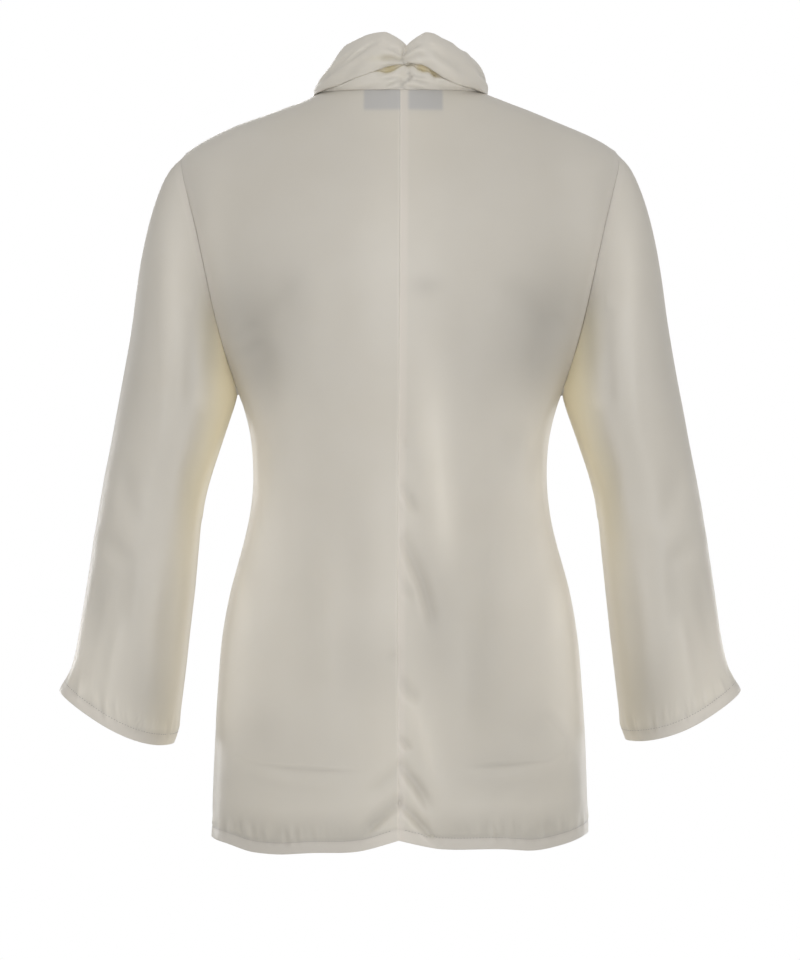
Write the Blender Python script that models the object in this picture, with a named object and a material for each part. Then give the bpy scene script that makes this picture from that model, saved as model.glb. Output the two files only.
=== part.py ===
"""Pull-on blouse in satin crepe, filled out as worn, with no wearer inside.

Two back panels, one front panel, two set-in sleeves, a doubled collar that is gathered at the
centre back, and the woven label that shows through the cloth. The blouse faces -Y and +X is the
wearer's left. The origin lies between the shoulder ends of the neck seam, where the wearer's
shoulders carry it.
"""

import math
from collections import namedtuple

import bmesh
import bpy
from mathutils import Vector
from mathutils.bvhtree import BVHTree

MM = 0.001

# Cloth
CLOTH = 1.2 * MM
SEAM_GAP = 0.3 * MM

# Rows of the body's mesh, counted up from the hem
UNDERARM_ROW = 14
TIP_ROW = 24
NECK_ROW = 29
COLUMNS = 10
CENTRE_CROWDING = 0.22

# Rings of a sleeve's mesh, counted down from the armhole
CUFF_RING = 20
ARMHOLE_FADE_RINGS = 6

# Each section of the body runs from its edge (side seam, armhole or shoulder seam) to the centre.
# Lengths are in millimetres. turn is the angle by which the section leaves its edge inwards, and
# full is how square it is, where 0.55 is an ellipse.
Section = namedtuple("Section", "row edge_x edge_y edge_z centre_y centre_z turn full")

BACK_SECTIONS = [
    Section(0, 173.5, 2, -683, 106, -684, 0, 0.60),
    Section(3, 170.5, 2, -597, 107, -597, 0, 0.60),
    Section(6, 165.0, 2, -511, 103, -511, 0, 0.59),
    Section(8, 155.5, 2, -454, 96, -454, 0, 0.58),
    Section(10, 139.0, 2, -397, 88, -397, 0, 0.57),
    Section(11, 135.0, 2, -368, 86, -368, 0, 0.57),
    Section(12, 135.0, 2, -340, 87, -340, 0, 0.57),
    Section(13, 137.5, 2, -311, 92, -311, 0, 0.58),
    Section(14, 146.5, 2, -282, 98, -282, 0, 0.60),
    Section(16, 160.5, 32, -236, 104, -236, 22, 0.60),
    Section(19, 176.0, 44, -168, 107, -168, 32, 0.60),
    Section(21, 187.0, 38, -118, 103, -118, 26, 0.56),
    Section(22, 194.0, 32, -91, 99, -95, 22, 0.53),
    Section(23, 200.0, 19, -67, 93, -75, 10, 0.49),
    Section(24, 195.5, 0, -57, 86, -56, 0, 0.47),
    Section(25, 174.5, 0, -42.5, 81, -46, 0, 0.47),
    Section(26, 151.0, 0, -30, 76, -34, 0, 0.48),
    Section(29, 76.0, 0, 0, 62, -4, 0, 0.56),
]

FRONT_SECTIONS = [
    Section(0, 173.5, 2, -683, -108, -683, 0, 0.60),
    Section(3, 170.5, 2, -597, -112, -597, 0, 0.60),
    Section(6, 165.0, 2, -511, -111, -511, 0, 0.60),
    Section(8, 155.5, 2, -454, -106, -454, 0, 0.60),
    Section(10, 139.0, 2, -397, -101, -397, 0, 0.60),
    Section(11, 135.0, 2, -368, -101, -368, 0, 0.60),
    Section(12, 135.0, 2, -340, -107, -340, 0, 0.62),
    Section(13, 137.5, 2, -311, -115, -311, 0, 0.65),
    Section(14, 146.5, 2, -282, -124, -283, 0, 0.68),
    Section(16, 153.0, -30, -236, -129, -242, 16, 0.68),
    Section(19, 163.0, -42, -168, -120, -196, 26, 0.62),
    Section(21, 179.0, -36, -118, -110, -172, 22, 0.57),
    Section(22, 189.0, -31, -91, -106, -160, 18, 0.54),
    Section(23, 198.0, -19, -67, -102, -149, 8, 0.50),
    Section(24, 195.5, 0, -57, -100, -140, 0, 0.47),
    Section(25, 174.5, 0, -42.5, -98, -133, 0, 0.48),
    Section(26, 151.0, 0, -30, -95, -124, 0, 0.50),
    Section(29, 76.0, 0, 0, -88, -100, 0, 0.56),
]

# How the drop of the neckline is shared between shoulder and centre: 1 would be a straight slope
DROP_CURVE = 1.5

# A sleeve's rings, each from its outer line to its inner line. back and front are half depths,
# and sag is how far the ring's back hangs below its two lines.
Ring = namedtuple("Ring", "ring outer_x outer_z inner_x inner_z centre_y back front sag")

SLEEVE_RINGS = [
    Ring(0, 195.5, -57, 146.5, -282, 2, 44, 42, 0),
    Ring(1, 207.0, -66, 148.0, -287, 1, 47, 45, 0),
    Ring(3, 226.0, -100, 152.0, -297, 0, 53, 50, 0),
    Ring(5, 237.0, -140, 158.0, -311, -1, 57, 53, 0),
    Ring(7, 244.5, -187, 165.5, -332, -3, 58, 54, 0),
    Ring(9, 252.5, -238, 173.5, -355, -6, 57, 54, 0),
    Ring(11, 261.5, -292, 180.5, -382, -9, 56, 53, 1),
    Ring(13, 272.0, -353, 184.5, -414, -13, 54, 52, 2),
    Ring(15, 283.0, -420, 189.0, -458, -17, 53, 50, 3),
    Ring(17, 293.0, -478, 194.5, -504, -21, 52, 49, 5),
    Ring(19, 304.5, -530, 200.5, -558, -24, 51, 48, 8),
    Ring(20, 313.0, -551, 206.0, -597, -25, 50, 47, 11),
]

# Soft folds of the panels: each is centred on a line from (x, top) to (foot_x, foot), spreads over
# width, and moves the cloth out by rise, or in where rise is negative. Lengths in millimetres.
Fold = namedtuple("Fold", "x top foot_x foot width rise")

BACK_FOLDS = [
    Fold(0, -80, 0, -640, 18, -1.0),
    Fold(-36, -300, -44, -480, 24, 2.2),
    Fold(46, -330, 52, -470, 30, 1.4),
    Fold(92, -440, 96, -640, 30, -3.4),
    Fold(-92, -440, -96, -640, 30, -3.4),
    Fold(140, -400, 150, -600, 22, 1.8),
    Fold(-140, -400, -150, -600, 22, 1.8),
    Fold(122, -180, 112, -300, 26, -3.0),
    Fold(-122, -180, -112, -300, 26, -3.0),
]

FRONT_FOLDS = [
    Fold(84, -232, 80, -262, 40, 5.0),
    Fold(-84, -232, -80, -262, 40, 5.0),
    Fold(0, -230, 0, -420, 26, -2.4),
    Fold(70, -440, 88, -690, 26, -3.4),
    Fold(-66, -430, -84, -690, 26, -3.4),
    Fold(18, -480, 22, -690, 24, 3.0),
    Fold(126, -420, 140, -690, 20, 2.4),
    Fold(-130, -430, -138, -690, 20, 2.4),
]

# The seam draws the hem up at the centre back
HEM_NOTCH_RISE = 9.0
HEM_NOTCH_WIDTH = 21.0
HEM_NOTCH_HEIGHT = 60.0

# Each section of the collar stands on the neck seam at psi degrees from the centre back. Each
# pair is (out from the seam, height above it) in millimetres, in the order in which the cloth
# runs: up the band, over its crest, in to the pleat, out under the roll, round its hanging edge,
# over its belly and shoulder to the top fold. drop is how much lower the pleat and the roll's
# edge lie on the wearer's right.
CollarSection = namedtuple("CollarSection", "psi band crest pleat under edge belly shoulder top drop")

COLLAR_SECTIONS = [
    CollarSection(0, (1.2, 5), (0.6, 10.5), (-2.8, 14.5), (-2.0, 18), (0.4, 21), (2.4, 27), (1.2, 33), (-6.0, 39.5), 0),
    CollarSection(5, (2.2, 6), (1.8, 12.4), (-4.8, 16.6), (-2.0, 20.2), (2.2, 22.4), (5.0, 29), (4.2, 39), (-5.5, 46), 1),
    CollarSection(12, (3.2, 6.5), (2.4, 13.6), (-6.0, 16.4), (-2.0, 19.8), (3.6, 20.8), (7.4, 29), (6.0, 41), (-5.0, 50.5), 2),
    CollarSection(20, (3.2, 6), (2.2, 12.4), (-6.0, 15.0), (-1.5, 18.0), (4.6, 18.0), (8.2, 27), (6.0, 41), (-5.5, 52), 3),
    CollarSection(28, (2.8, 5), (1.4, 10.0), (-5.8, 12.8), (-0.5, 15.6), (5.6, 14.6), (8.6, 24), (5.0, 40), (-6.5, 52.5), 4.4),
    CollarSection(36, (2.2, 4), (0.6, 7.4), (-5.6, 10.4), (-0.5, 13.0), (6.0, 11.0), (8.4, 21), (4.2, 38), (-7.5, 50.5), 4.4),
    CollarSection(50, (1.4, 2.6), (-0.2, 5.0), (-5.4, 7.6), (-0.5, 8.8), (5.6, 5.2), (7.2, 14), (2.4, 30), (-9.0, 43), 3.0),
    CollarSection(70, (0.6, 1.5), (-1.2, 3.2), (-5.0, 5.4), (-0.5, 6.0), (5.0, 1.6), (5.4, 7.6), (-0.4, 21.5), (-11.0, 34.0), 0.8),
    CollarSection(90, (0.4, 1.3), (-1.4, 2.8), (-4.8, 4.8), (-0.5, 5.2), (4.6, 0.6), (3.6, 5.6), (-2.4, 17), (-12.0, 28.5), 0),
    CollarSection(110, (0.4, 1.3), (-1.4, 2.8), (-4.8, 5.0), (-0.5, 5.0), (4.8, -0.6), (5.2, 6), (0.2, 19), (-10.0, 30), 0),
    CollarSection(135, (0.6, 1.5), (-1.2, 3.2), (-5.0, 5.6), (0.0, 5.2), (5.0, -2.4), (7.6, 7), (3.2, 22), (-7.0, 35), 0),
    CollarSection(180, (0.8, 1.7), (-1.0, 3.6), (-5.0, 6.2), (0.4, 5.6), (5.0, -3.6), (9.2, 7), (6.2, 24), (-4.0, 38), 0),
]

# The collar's gathered seam leans to the wearer's right above this height, by this much
COLLAR_SWAY = 4.8
COLLAR_SWAY_HEIGHT = 22.0

# The collar's cloth goes down again inside, from the top fold to the neck seam
COLLAR_FOOT = 0.3
COLLAR_FACING_STEP = 4.4
COLLAR_FACING_DROP = 4.5
COLLAR_FACING_OUT = -10.4
COLLAR_FACING_FOOT = (-4.2, 1.8)
# How many faces each stretch between two of a collar section's points has
COLLAR_STRETCHES = (1, 1, 2, 1, 2, 2, 2, 2, 1, 2, 2, 1)
COLLAR_LEAN = 0.5

# Label, sewn inside the back neck
LABEL_WIDTH = 72.0
LABEL_SHIFT = -3.0
LABEL_TOP_ROW = 28.75
LABEL_FOOT_ROW = 26.75
LABEL_THICKNESS = 0.8
LABEL_CLEARANCE = 0.6
LABEL_COLUMNS = 14
LABEL_STEPS = 4

IVORY = (0.80, 0.77, 0.69, 1.0)
LABEL_GREY = (0.16, 0.16, 0.17, 1.0)

PANELS = ["back_left", "back_right", "front", "sleeve_left", "sleeve_right"]
BACK_PANELS = {0, 1}
FRONT_PANELS = {2}


def clear_scene():
    for thing in list(bpy.data.objects):
        bpy.data.objects.remove(thing)


def smooth_through(places, values, place):
    """The value at place on a smooth curve through the given ones that never overshoots them."""
    if place <= places[0]:
        return values[0]
    if place >= places[-1]:
        return values[-1]
    steps = [b - a for a, b in zip(places, places[1:])]
    slopes = [(b - a) / step for a, b, step in zip(values, values[1:], steps)]
    tangents = [slopes[0]]
    for before, after in zip(slopes, slopes[1:]):
        turning = before * after <= 0
        tangents.append(0 if turning else 2 * before * after / (before + after))
    tangents.append(slopes[-1])
    i = max(k for k in range(len(steps)) if places[k] <= place)
    t = (place - places[i]) / steps[i]
    return (
        values[i] * (1 + 2 * t) * (1 - t) ** 2
        + steps[i] * tangents[i] * t * (1 - t) ** 2
        + values[i + 1] * t * t * (3 - 2 * t)
        - steps[i] * tangents[i + 1] * t * t * (1 - t)
    )


def read_table(table, place):
    """A row between the rows of a table, whose first column is the place."""
    places = [row[0] for row in table]
    read = [place]
    for column in list(zip(*table))[1:]:
        if isinstance(column[0], tuple):
            read.append(tuple(smooth_through(places, values, place) for values in zip(*column)))
        else:
            read.append(smooth_through(places, column, place))
    return type(table[0])(*read)


def evenly_along(points, shares):
    """Points at the given shares of the length of a line through points."""
    lengths = [0.0]
    for a, b in zip(points, points[1:]):
        lengths.append(lengths[-1] + (b - a).length)
    found = []
    for share in shares:
        wanted = share * lengths[-1]
        i = 0
        while i < len(points) - 2 and lengths[i + 1] < wanted:
            i += 1
        span = lengths[i + 1] - lengths[i]
        found.append(points[i].lerp(points[i + 1], (wanted - lengths[i]) / span))
    return found


def column_shares():
    """Shares from edge to centre, a little crowded towards the centre."""
    even = [i / COLUMNS for i in range(COLUMNS + 1)]
    return [share + CENTRE_CROWDING * share * (1 - share) for share in even]


def body_line(table, row, shares):
    """Points of one horizontal section of the body, from its edge to the centre, at +X."""
    s = read_table(table, row)
    side = 1 if s.centre_y > 0 else -1
    turn = math.radians(s.turn)
    edge = Vector((s.edge_x, s.edge_y))
    centre = Vector((0, s.centre_y))
    leave = Vector((-math.sin(turn), side * math.cos(turn)))
    handles = (
        edge,
        edge + leave * s.full * abs(s.centre_y - s.edge_y),
        centre + Vector((s.full * s.edge_x, 0)),
        centre,
    )
    fine = []
    for i in range(61):
        t = i / 60
        weights = ((1 - t) ** 3, 3 * t * (1 - t) ** 2, 3 * t * t * (1 - t), t**3)
        fine.append(sum((h * w for h, w in zip(handles, weights)), Vector((0, 0))))
    line = []
    for p in evenly_along(fine, shares):
        sunk = min(abs(p.y - s.edge_y) / abs(s.centre_y - s.edge_y), 1)
        z = s.edge_z + (s.centre_z - s.edge_z) * sunk**DROP_CURVE
        line.append(Vector((p.x, p.y, z)) * MM)
    return line


def fold_rise(folds, x, z):
    """How far the folds move the cloth out at a point of a panel, in millimetres."""
    rise = 0.0
    for fold in folds:
        axis = Vector((fold.foot_x - fold.x, fold.foot - fold.top))
        start = Vector((x - fold.x, z - fold.top))
        share = max(0.0, min(1.0, start.dot(axis) / axis.length_squared))
        away = (start - axis * share).length
        rise += fold.rise * math.exp(-((away / fold.width) ** 2))
    return rise


def hem_notch(p):
    """How far the centre-back seam draws up a point of the back."""
    x = p.x / MM / HEM_NOTCH_WIDTH
    up = max(p.z / MM - BACK_SECTIONS[0].edge_z, 0.0) / HEM_NOTCH_HEIGHT
    return HEM_NOTCH_RISE * MM * math.exp(-x * x - up * up)


def body_half(table):
    """The left half of the front or the back, as rows of points from edge to centre."""
    rows = [body_line(table, row, column_shares()) for row in range(NECK_ROW + 1)]
    if table is BACK_SECTIONS:
        for p in sum(rows, []):
            p.z += hem_notch(p)
    return rows


def mirrored(rows):
    return [[Vector((-p.x, p.y, p.z)) for p in row] for row in rows]


def armhole_loop(back, front):
    """The armhole's points, from the shoulder tip down the back and up the front."""
    rows = range(TIP_ROW, UNDERARM_ROW - 1, -1)
    return [back[row][0] for row in rows] + [front[row][0] for row in reversed(rows)][1:-1]


def ring_line(place, count):
    """An even oval ring of a sleeve, from its outer line round the back to its inner line."""
    ring = read_table(SLEEVE_RINGS, place)
    outer = Vector((ring.outer_x, ring.centre_y, ring.outer_z))
    inner = Vector((ring.inner_x, ring.centre_y, ring.inner_z))
    middle, reach = (outer + inner) / 2, (outer - inner) / 2
    halves = []
    for depth, sag in ((ring.back, ring.sag), (-ring.front, ring.sag / 3)):
        fine = []
        for i in range(61):
            angle = math.pi * i / 60
            drop = Vector((0, 0, -sag * math.sin(angle) ** 2))
            across = Vector((0, depth * math.sin(angle), 0))
            fine.append(middle + reach * math.cos(angle) + across + drop)
        halves.append(evenly_along(fine, [i / (count // 2) for i in range(count // 2 + 1)]))
    back, front = halves
    return [p * MM for p in back + front[-2:0:-1]]


def sleeve_rings(armhole):
    """Rings of points from the armhole to the cuff."""
    start = ring_line(0, len(armhole))
    rings = [armhole]
    for place in range(1, CUFF_RING + 1):
        fade = max(0.0, 1 - place / ARMHOLE_FADE_RINGS) ** 2
        ring = ring_line(place, len(armhole))
        rings.append([p + (a - s) * fade for p, a, s in zip(ring, armhole, start)])
    return rings


def add_grid(mesh, rows, layer, panel, closed, flip):
    """Faces between rows of points, marked with the panel that they belong to."""
    verts = [[mesh.verts.new(p) for p in row] for row in rows]
    for lower, upper in zip(verts, verts[1:]):
        last = len(lower) if closed else len(lower) - 1
        for i in range(last):
            j = (i + 1) % len(lower)
            corners = (lower[i], lower[j], upper[j], upper[i])
            face = mesh.faces.new(corners[::-1] if flip else corners)
            face[layer] = PANELS.index(panel)


def raise_folds(mesh, layer):
    """Moves the panels' points along their normals by the folds. Side and arm seams stay."""
    moves = []
    for vert in mesh.verts:
        on = {face[layer] for face in vert.link_faces}
        x, z = vert.co.x / MM, vert.co.z / MM
        if on <= BACK_PANELS:
            moves.append((vert, fold_rise(BACK_FOLDS, x, z)))
        elif on <= FRONT_PANELS:
            moves.append((vert, fold_rise(FRONT_FOLDS, x, z)))
    for vert, rise in [(vert, vert.normal * rise * MM) for vert, rise in moves]:
        vert.co += rise


def whole_shell(back, front):
    """The outer surface of body and sleeves as one mesh, whose faces know their panel."""
    mesh = bmesh.new()
    layer = mesh.faces.layers.int.new("panel")
    sleeve = sleeve_rings(armhole_loop(back, front))
    add_grid(mesh, back, layer, "back_left", False, True)
    add_grid(mesh, mirrored(back), layer, "back_right", False, False)
    add_grid(mesh, front, layer, "front", False, False)
    add_grid(mesh, mirrored(front), layer, "front", False, True)
    add_grid(mesh, sleeve, layer, "sleeve_left", True, False)
    add_grid(mesh, mirrored(sleeve), layer, "sleeve_right", True, True)
    bmesh.ops.remove_doubles(mesh, verts=mesh.verts, dist=0.01 * MM)
    bmesh.ops.recalc_face_normals(mesh, faces=mesh.faces)
    mesh.normal_update()
    raise_folds(mesh, layer)
    mesh.normal_update()
    return mesh, layer


def own_normal(vert, layer, panel):
    found = sum((f.normal * f.calc_area() for f in vert.link_faces if f[layer] == panel), Vector())
    return found.normalized()


def own_middle(vert, layer, panel):
    middles = [f.calc_center_median() for f in vert.link_faces if f[layer] == panel]
    return sum(middles, Vector()) / len(middles)


def into_panel(vert, layer, panel):
    """The direction from a seam's point into a panel, square to the seam."""
    found = Vector()
    seam = []
    for edge in vert.link_edges:
        own = [face for face in edge.link_faces if face[layer] == panel]
        along = (edge.other_vert(vert).co - vert.co).normalized()
        if len(own) == 2:
            found += along
        elif len(own) == 1:
            seam.append(along)
    if found.length < 1e-6:
        found = own_middle(vert, layer, panel) - vert.co
    if len({face[layer] for face in vert.link_faces}) == 2 and len(seam) == 2:
        tangent = (seam[0] - seam[1]).normalized()
        found -= tangent * found.dot(tangent)
    return found.normalized()


def panel_points(vert, layer, panel):
    """The outer and the inner point of a panel's cloth at one point of the shell."""
    normal = own_normal(vert, layer, panel)
    on = {face[layer] for face in vert.link_faces}
    if len(on) == 1:
        return vert.co.copy(), vert.co - normal * CLOTH
    inwards = into_panel(vert, layer, panel)
    outer = vert.co + inwards * SEAM_GAP * (0.5 if len(on) == 2 else 1.2)
    inner = outer - normal * CLOTH
    for other in on - {panel}:
        apart = normal - own_normal(vert, layer, other)
        ways = own_middle(vert, layer, panel) - own_middle(vert, layer, other)
        if apart.length > 0.01 and apart.dot(ways) > 0:
            # A ridge: both cloths stop short of the plane that halves it
            apart.normalize()
            inner += apart * max(SEAM_GAP / 2 - (inner - vert.co).dot(apart), 0)
    return outer, inner


def panel_solid(shell, layer, panel):
    """A panel's cloth as a closed mesh: outer face, inner face and rims."""
    mesh = bmesh.new()
    faces = [face for face in shell.faces if face[layer] == panel]
    outer, inner = {}, {}
    for vert in sorted({vert for face in faces for vert in face.verts}, key=lambda v: v.index):
        outside, inside = panel_points(vert, layer, panel)
        outer[vert] = mesh.verts.new(outside)
        inner[vert] = mesh.verts.new(inside)
    for face in faces:
        mesh.faces.new([outer[v] for v in face.verts])
        mesh.faces.new([inner[v] for v in reversed(face.verts)])
        for loop in face.loops:
            if sum(f[layer] == panel for f in loop.edge.link_faces) == 1:
                a, b = loop.vert, loop.link_loop_next.vert
                mesh.faces.new([outer[b], outer[a], inner[a], inner[b]])
    return mesh


def finish(mesh, name, colour, roughness):
    """Makes an object with its own material from a mesh."""
    bmesh.ops.recalc_face_normals(mesh, faces=mesh.faces)
    data = bpy.data.meshes.new(name)
    mesh.to_mesh(data)
    mesh.free()
    thing = bpy.data.objects.new(name, data)
    material = bpy.data.materials.new(name)
    material.use_nodes = True
    shader = material.node_tree.nodes["Principled BSDF"]
    shader.inputs["Base Color"].default_value = colour
    shader.inputs["Roughness"].default_value = roughness
    data.materials.append(material)
    bpy.context.scene.collection.objects.link(thing)
    return thing


def neck_stations(back, front):
    """Points round the neck seam from the centre back by the wearer's left, on the body's edge."""
    quarter = (back[NECK_ROW], front[NECK_ROW])
    left = quarter[0][::-1] + quarter[1][1:]
    loop = left + mirrored([left])[0][-2:0:-1]
    stations = []
    for i, p in enumerate(loop):
        after = loop[(i + 1) % len(loop)]
        from_back = min(i, len(loop) - 1 - i)
        pieces = 3 if from_back < 4 else 2 if from_back < COLUMNS else 1
        stations += [p.lerp(after, k / pieces) for k in range(pieces)]
    return stations


def through(points, stretches):
    """A smooth line through points, in as many pieces between each two as stretches says."""
    ends = [points[0] * 2 - points[1]] + points + [points[-1] * 2 - points[-2]]
    line = []
    for i, pieces in enumerate(stretches):
        a, b, c, d = ends[i : i + 4]
        for k in range(pieces):
            t = k / pieces
            line.append(
                (b * 2 + (c - a) * t + (a * 2 - b * 5 + c * 4 - d) * t**2 + (b * 3 - a - c * 3 + d) * t**3) / 2
            )
    return line + [points[-1]]


def collar_profile(psi):
    """The collar's section at an angle from the centre back, as points (out, height)."""
    s = read_table(COLLAR_SECTIONS, abs(psi))
    drop = s.drop if psi < 0 else 0.0
    lower = Vector((0, -drop))
    top = Vector(s.top) + lower * 0.8
    turn = top + Vector((-COLLAR_FACING_STEP, -COLLAR_FACING_DROP))
    inside = min(COLLAR_FACING_OUT, top.x - COLLAR_FACING_STEP)
    points = [
        Vector((0, COLLAR_FOOT)),
        Vector(s.band) + lower * 0.2,
        Vector(s.crest) + lower * 0.6,
        Vector(s.pleat) + lower * 0.8,
        Vector(s.under) + lower,
        Vector(s.edge) + lower,
        Vector(s.belly) + lower * 0.5,
        Vector(s.shoulder) + lower * 0.6,
        top,
        turn,
        Vector((inside, top.y * 0.60)),
        Vector((inside, top.y * 0.26)),
        Vector(COLLAR_FACING_FOOT),
    ]
    return through(points, COLLAR_STRETCHES)


def collar_solid(back, front):
    """The collar's cloth, as closed sections swept round the neck seam."""
    mesh = bmesh.new()
    stations = neck_stations(back, front)
    count = len(stations)
    sections = []
    for i, base in enumerate(stations):
        along = (stations[(i + 1) % count] - stations[i - 1]).normalized()
        out = Vector((along.y, -along.x, 0)).normalized()
        if out.dot(Vector((base.x, base.y, 0))) < 0:
            out = -out
        square = out.cross(along)
        square *= -1 if square.z < 0 else 1
        up = (Vector((0, 0, 1)) * (1 - COLLAR_LEAN) + square * COLLAR_LEAN).normalized()
        line = collar_profile(math.degrees(math.atan2(base.x, base.y)))
        walls = ([], [])
        for k, p in enumerate(line):
            ahead = (line[min(k + 1, len(line) - 1)] - line[max(k - 1, 0)]).normalized()
            across = Vector((ahead.y, -ahead.x)) * CLOTH / MM / 2
            for wall, q in zip(walls, (p + across, p - across)):
                sway = Vector((-COLLAR_SWAY * max(0.0, min(1.0, q.y / COLLAR_SWAY_HEIGHT)), 0, 0))
                wall.append(mesh.verts.new(base + (out * q.x + up * q.y + sway) * MM))
        sections.append(walls[0] + walls[1][::-1])
    for i, section in enumerate(sections):
        after = sections[(i + 1) % count]
        for k, vert in enumerate(section):
            j = (k + 1) % len(section)
            mesh.faces.new((vert, section[j], after[j], after[k]))
    return mesh


def label_solid(shell):
    """The label, set in from the inner face of the two back panels."""
    tree = BVHTree.FromBMesh(shell)
    shares = [i / 40 for i in range(41)]
    grid = []
    for step in range(LABEL_STEPS + 1):
        row = LABEL_TOP_ROW + (LABEL_FOOT_ROW - LABEL_TOP_ROW) * step / LABEL_STEPS
        half = body_line(BACK_SECTIONS, row, shares)
        line = half + mirrored([half])[0][-2::-1]
        points = []
        for column in range(LABEL_COLUMNS + 1):
            x = (LABEL_SHIFT + LABEL_WIDTH * (0.5 - column / LABEL_COLUMNS)) * MM
            i = max(k for k in range(len(line) - 1) if line[k].x >= x)
            share = (line[i].x - x) / (line[i].x - line[i + 1].x)
            smooth = line[i].lerp(line[i + 1], share)
            place, normal, face, far = tree.find_nearest(smooth)
            points.append(place)
        grid.append(points)
    mesh = bmesh.new()
    walls = []
    for depth in (CLOTH + LABEL_CLEARANCE * MM, CLOTH + (LABEL_CLEARANCE + LABEL_THICKNESS) * MM):
        wall = []
        for step, points in enumerate(grid):
            above = grid[max(step - 1, 0)]
            below = grid[min(step + 1, LABEL_STEPS)]
            verts = []
            for column, p in enumerate(points):
                across = points[min(column + 1, LABEL_COLUMNS)] - points[max(column - 1, 0)]
                normal = across.cross(below[column] - above[column]).normalized()
                normal *= -1 if normal.y < 0 else 1
                verts.append(mesh.verts.new(p - normal * depth))
            wall.append(verts)
        walls.append(wall)
    outer, inner = walls
    for step in range(LABEL_STEPS):
        for column in range(LABEL_COLUMNS):
            cell = ((step, column), (step, column + 1), (step + 1, column + 1), (step + 1, column))
            mesh.faces.new([outer[a][b] for a, b in cell])
            mesh.faces.new([inner[a][b] for a, b in reversed(cell)])
    rim = [(0, c) for c in range(LABEL_COLUMNS)]
    rim += [(s, LABEL_COLUMNS) for s in range(LABEL_STEPS)]
    rim += [(LABEL_STEPS, c) for c in range(LABEL_COLUMNS, 0, -1)]
    rim += [(s, 0) for s in range(LABEL_STEPS, 0, -1)]
    for (a, b), (c, d) in zip(rim, rim[1:] + rim[:1]):
        mesh.faces.new([outer[c][d], outer[a][b], inner[a][b], inner[c][d]])
    return mesh


def main():
    clear_scene()
    back, front = body_half(BACK_SECTIONS), body_half(FRONT_SECTIONS)
    shell, layer = whole_shell(back, front)
    shell.verts.index_update()
    for panel, name in enumerate(PANELS):
        finish(panel_solid(shell, layer, panel), name, IVORY, 0.5)
    finish(label_solid(shell), "label", LABEL_GREY, 0.7)
    shell.free()
    finish(collar_solid(back, front), "collar", IVORY, 0.5)


main()
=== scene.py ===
import math

import bmesh
import bpy
import numpy as np
from mathutils import Matrix, Vector, noise
from mathutils.bvhtree import BVHTree
from mathutils.kdtree import KDTree


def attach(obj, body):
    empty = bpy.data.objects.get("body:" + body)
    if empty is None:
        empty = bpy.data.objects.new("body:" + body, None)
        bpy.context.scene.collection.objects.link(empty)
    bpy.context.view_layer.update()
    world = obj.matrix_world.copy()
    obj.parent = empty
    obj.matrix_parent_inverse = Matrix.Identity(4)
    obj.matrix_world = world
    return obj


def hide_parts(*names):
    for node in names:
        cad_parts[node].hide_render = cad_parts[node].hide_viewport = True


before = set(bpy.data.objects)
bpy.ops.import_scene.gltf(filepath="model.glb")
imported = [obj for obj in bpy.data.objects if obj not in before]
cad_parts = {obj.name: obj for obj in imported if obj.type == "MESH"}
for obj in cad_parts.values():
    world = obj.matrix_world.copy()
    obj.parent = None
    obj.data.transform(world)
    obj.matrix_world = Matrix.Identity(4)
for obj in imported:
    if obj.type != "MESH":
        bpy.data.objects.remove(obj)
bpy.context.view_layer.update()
scene = bpy.context.scene
mm = 0.001
print("frame loaded:", ", ".join(sorted(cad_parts)))

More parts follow.
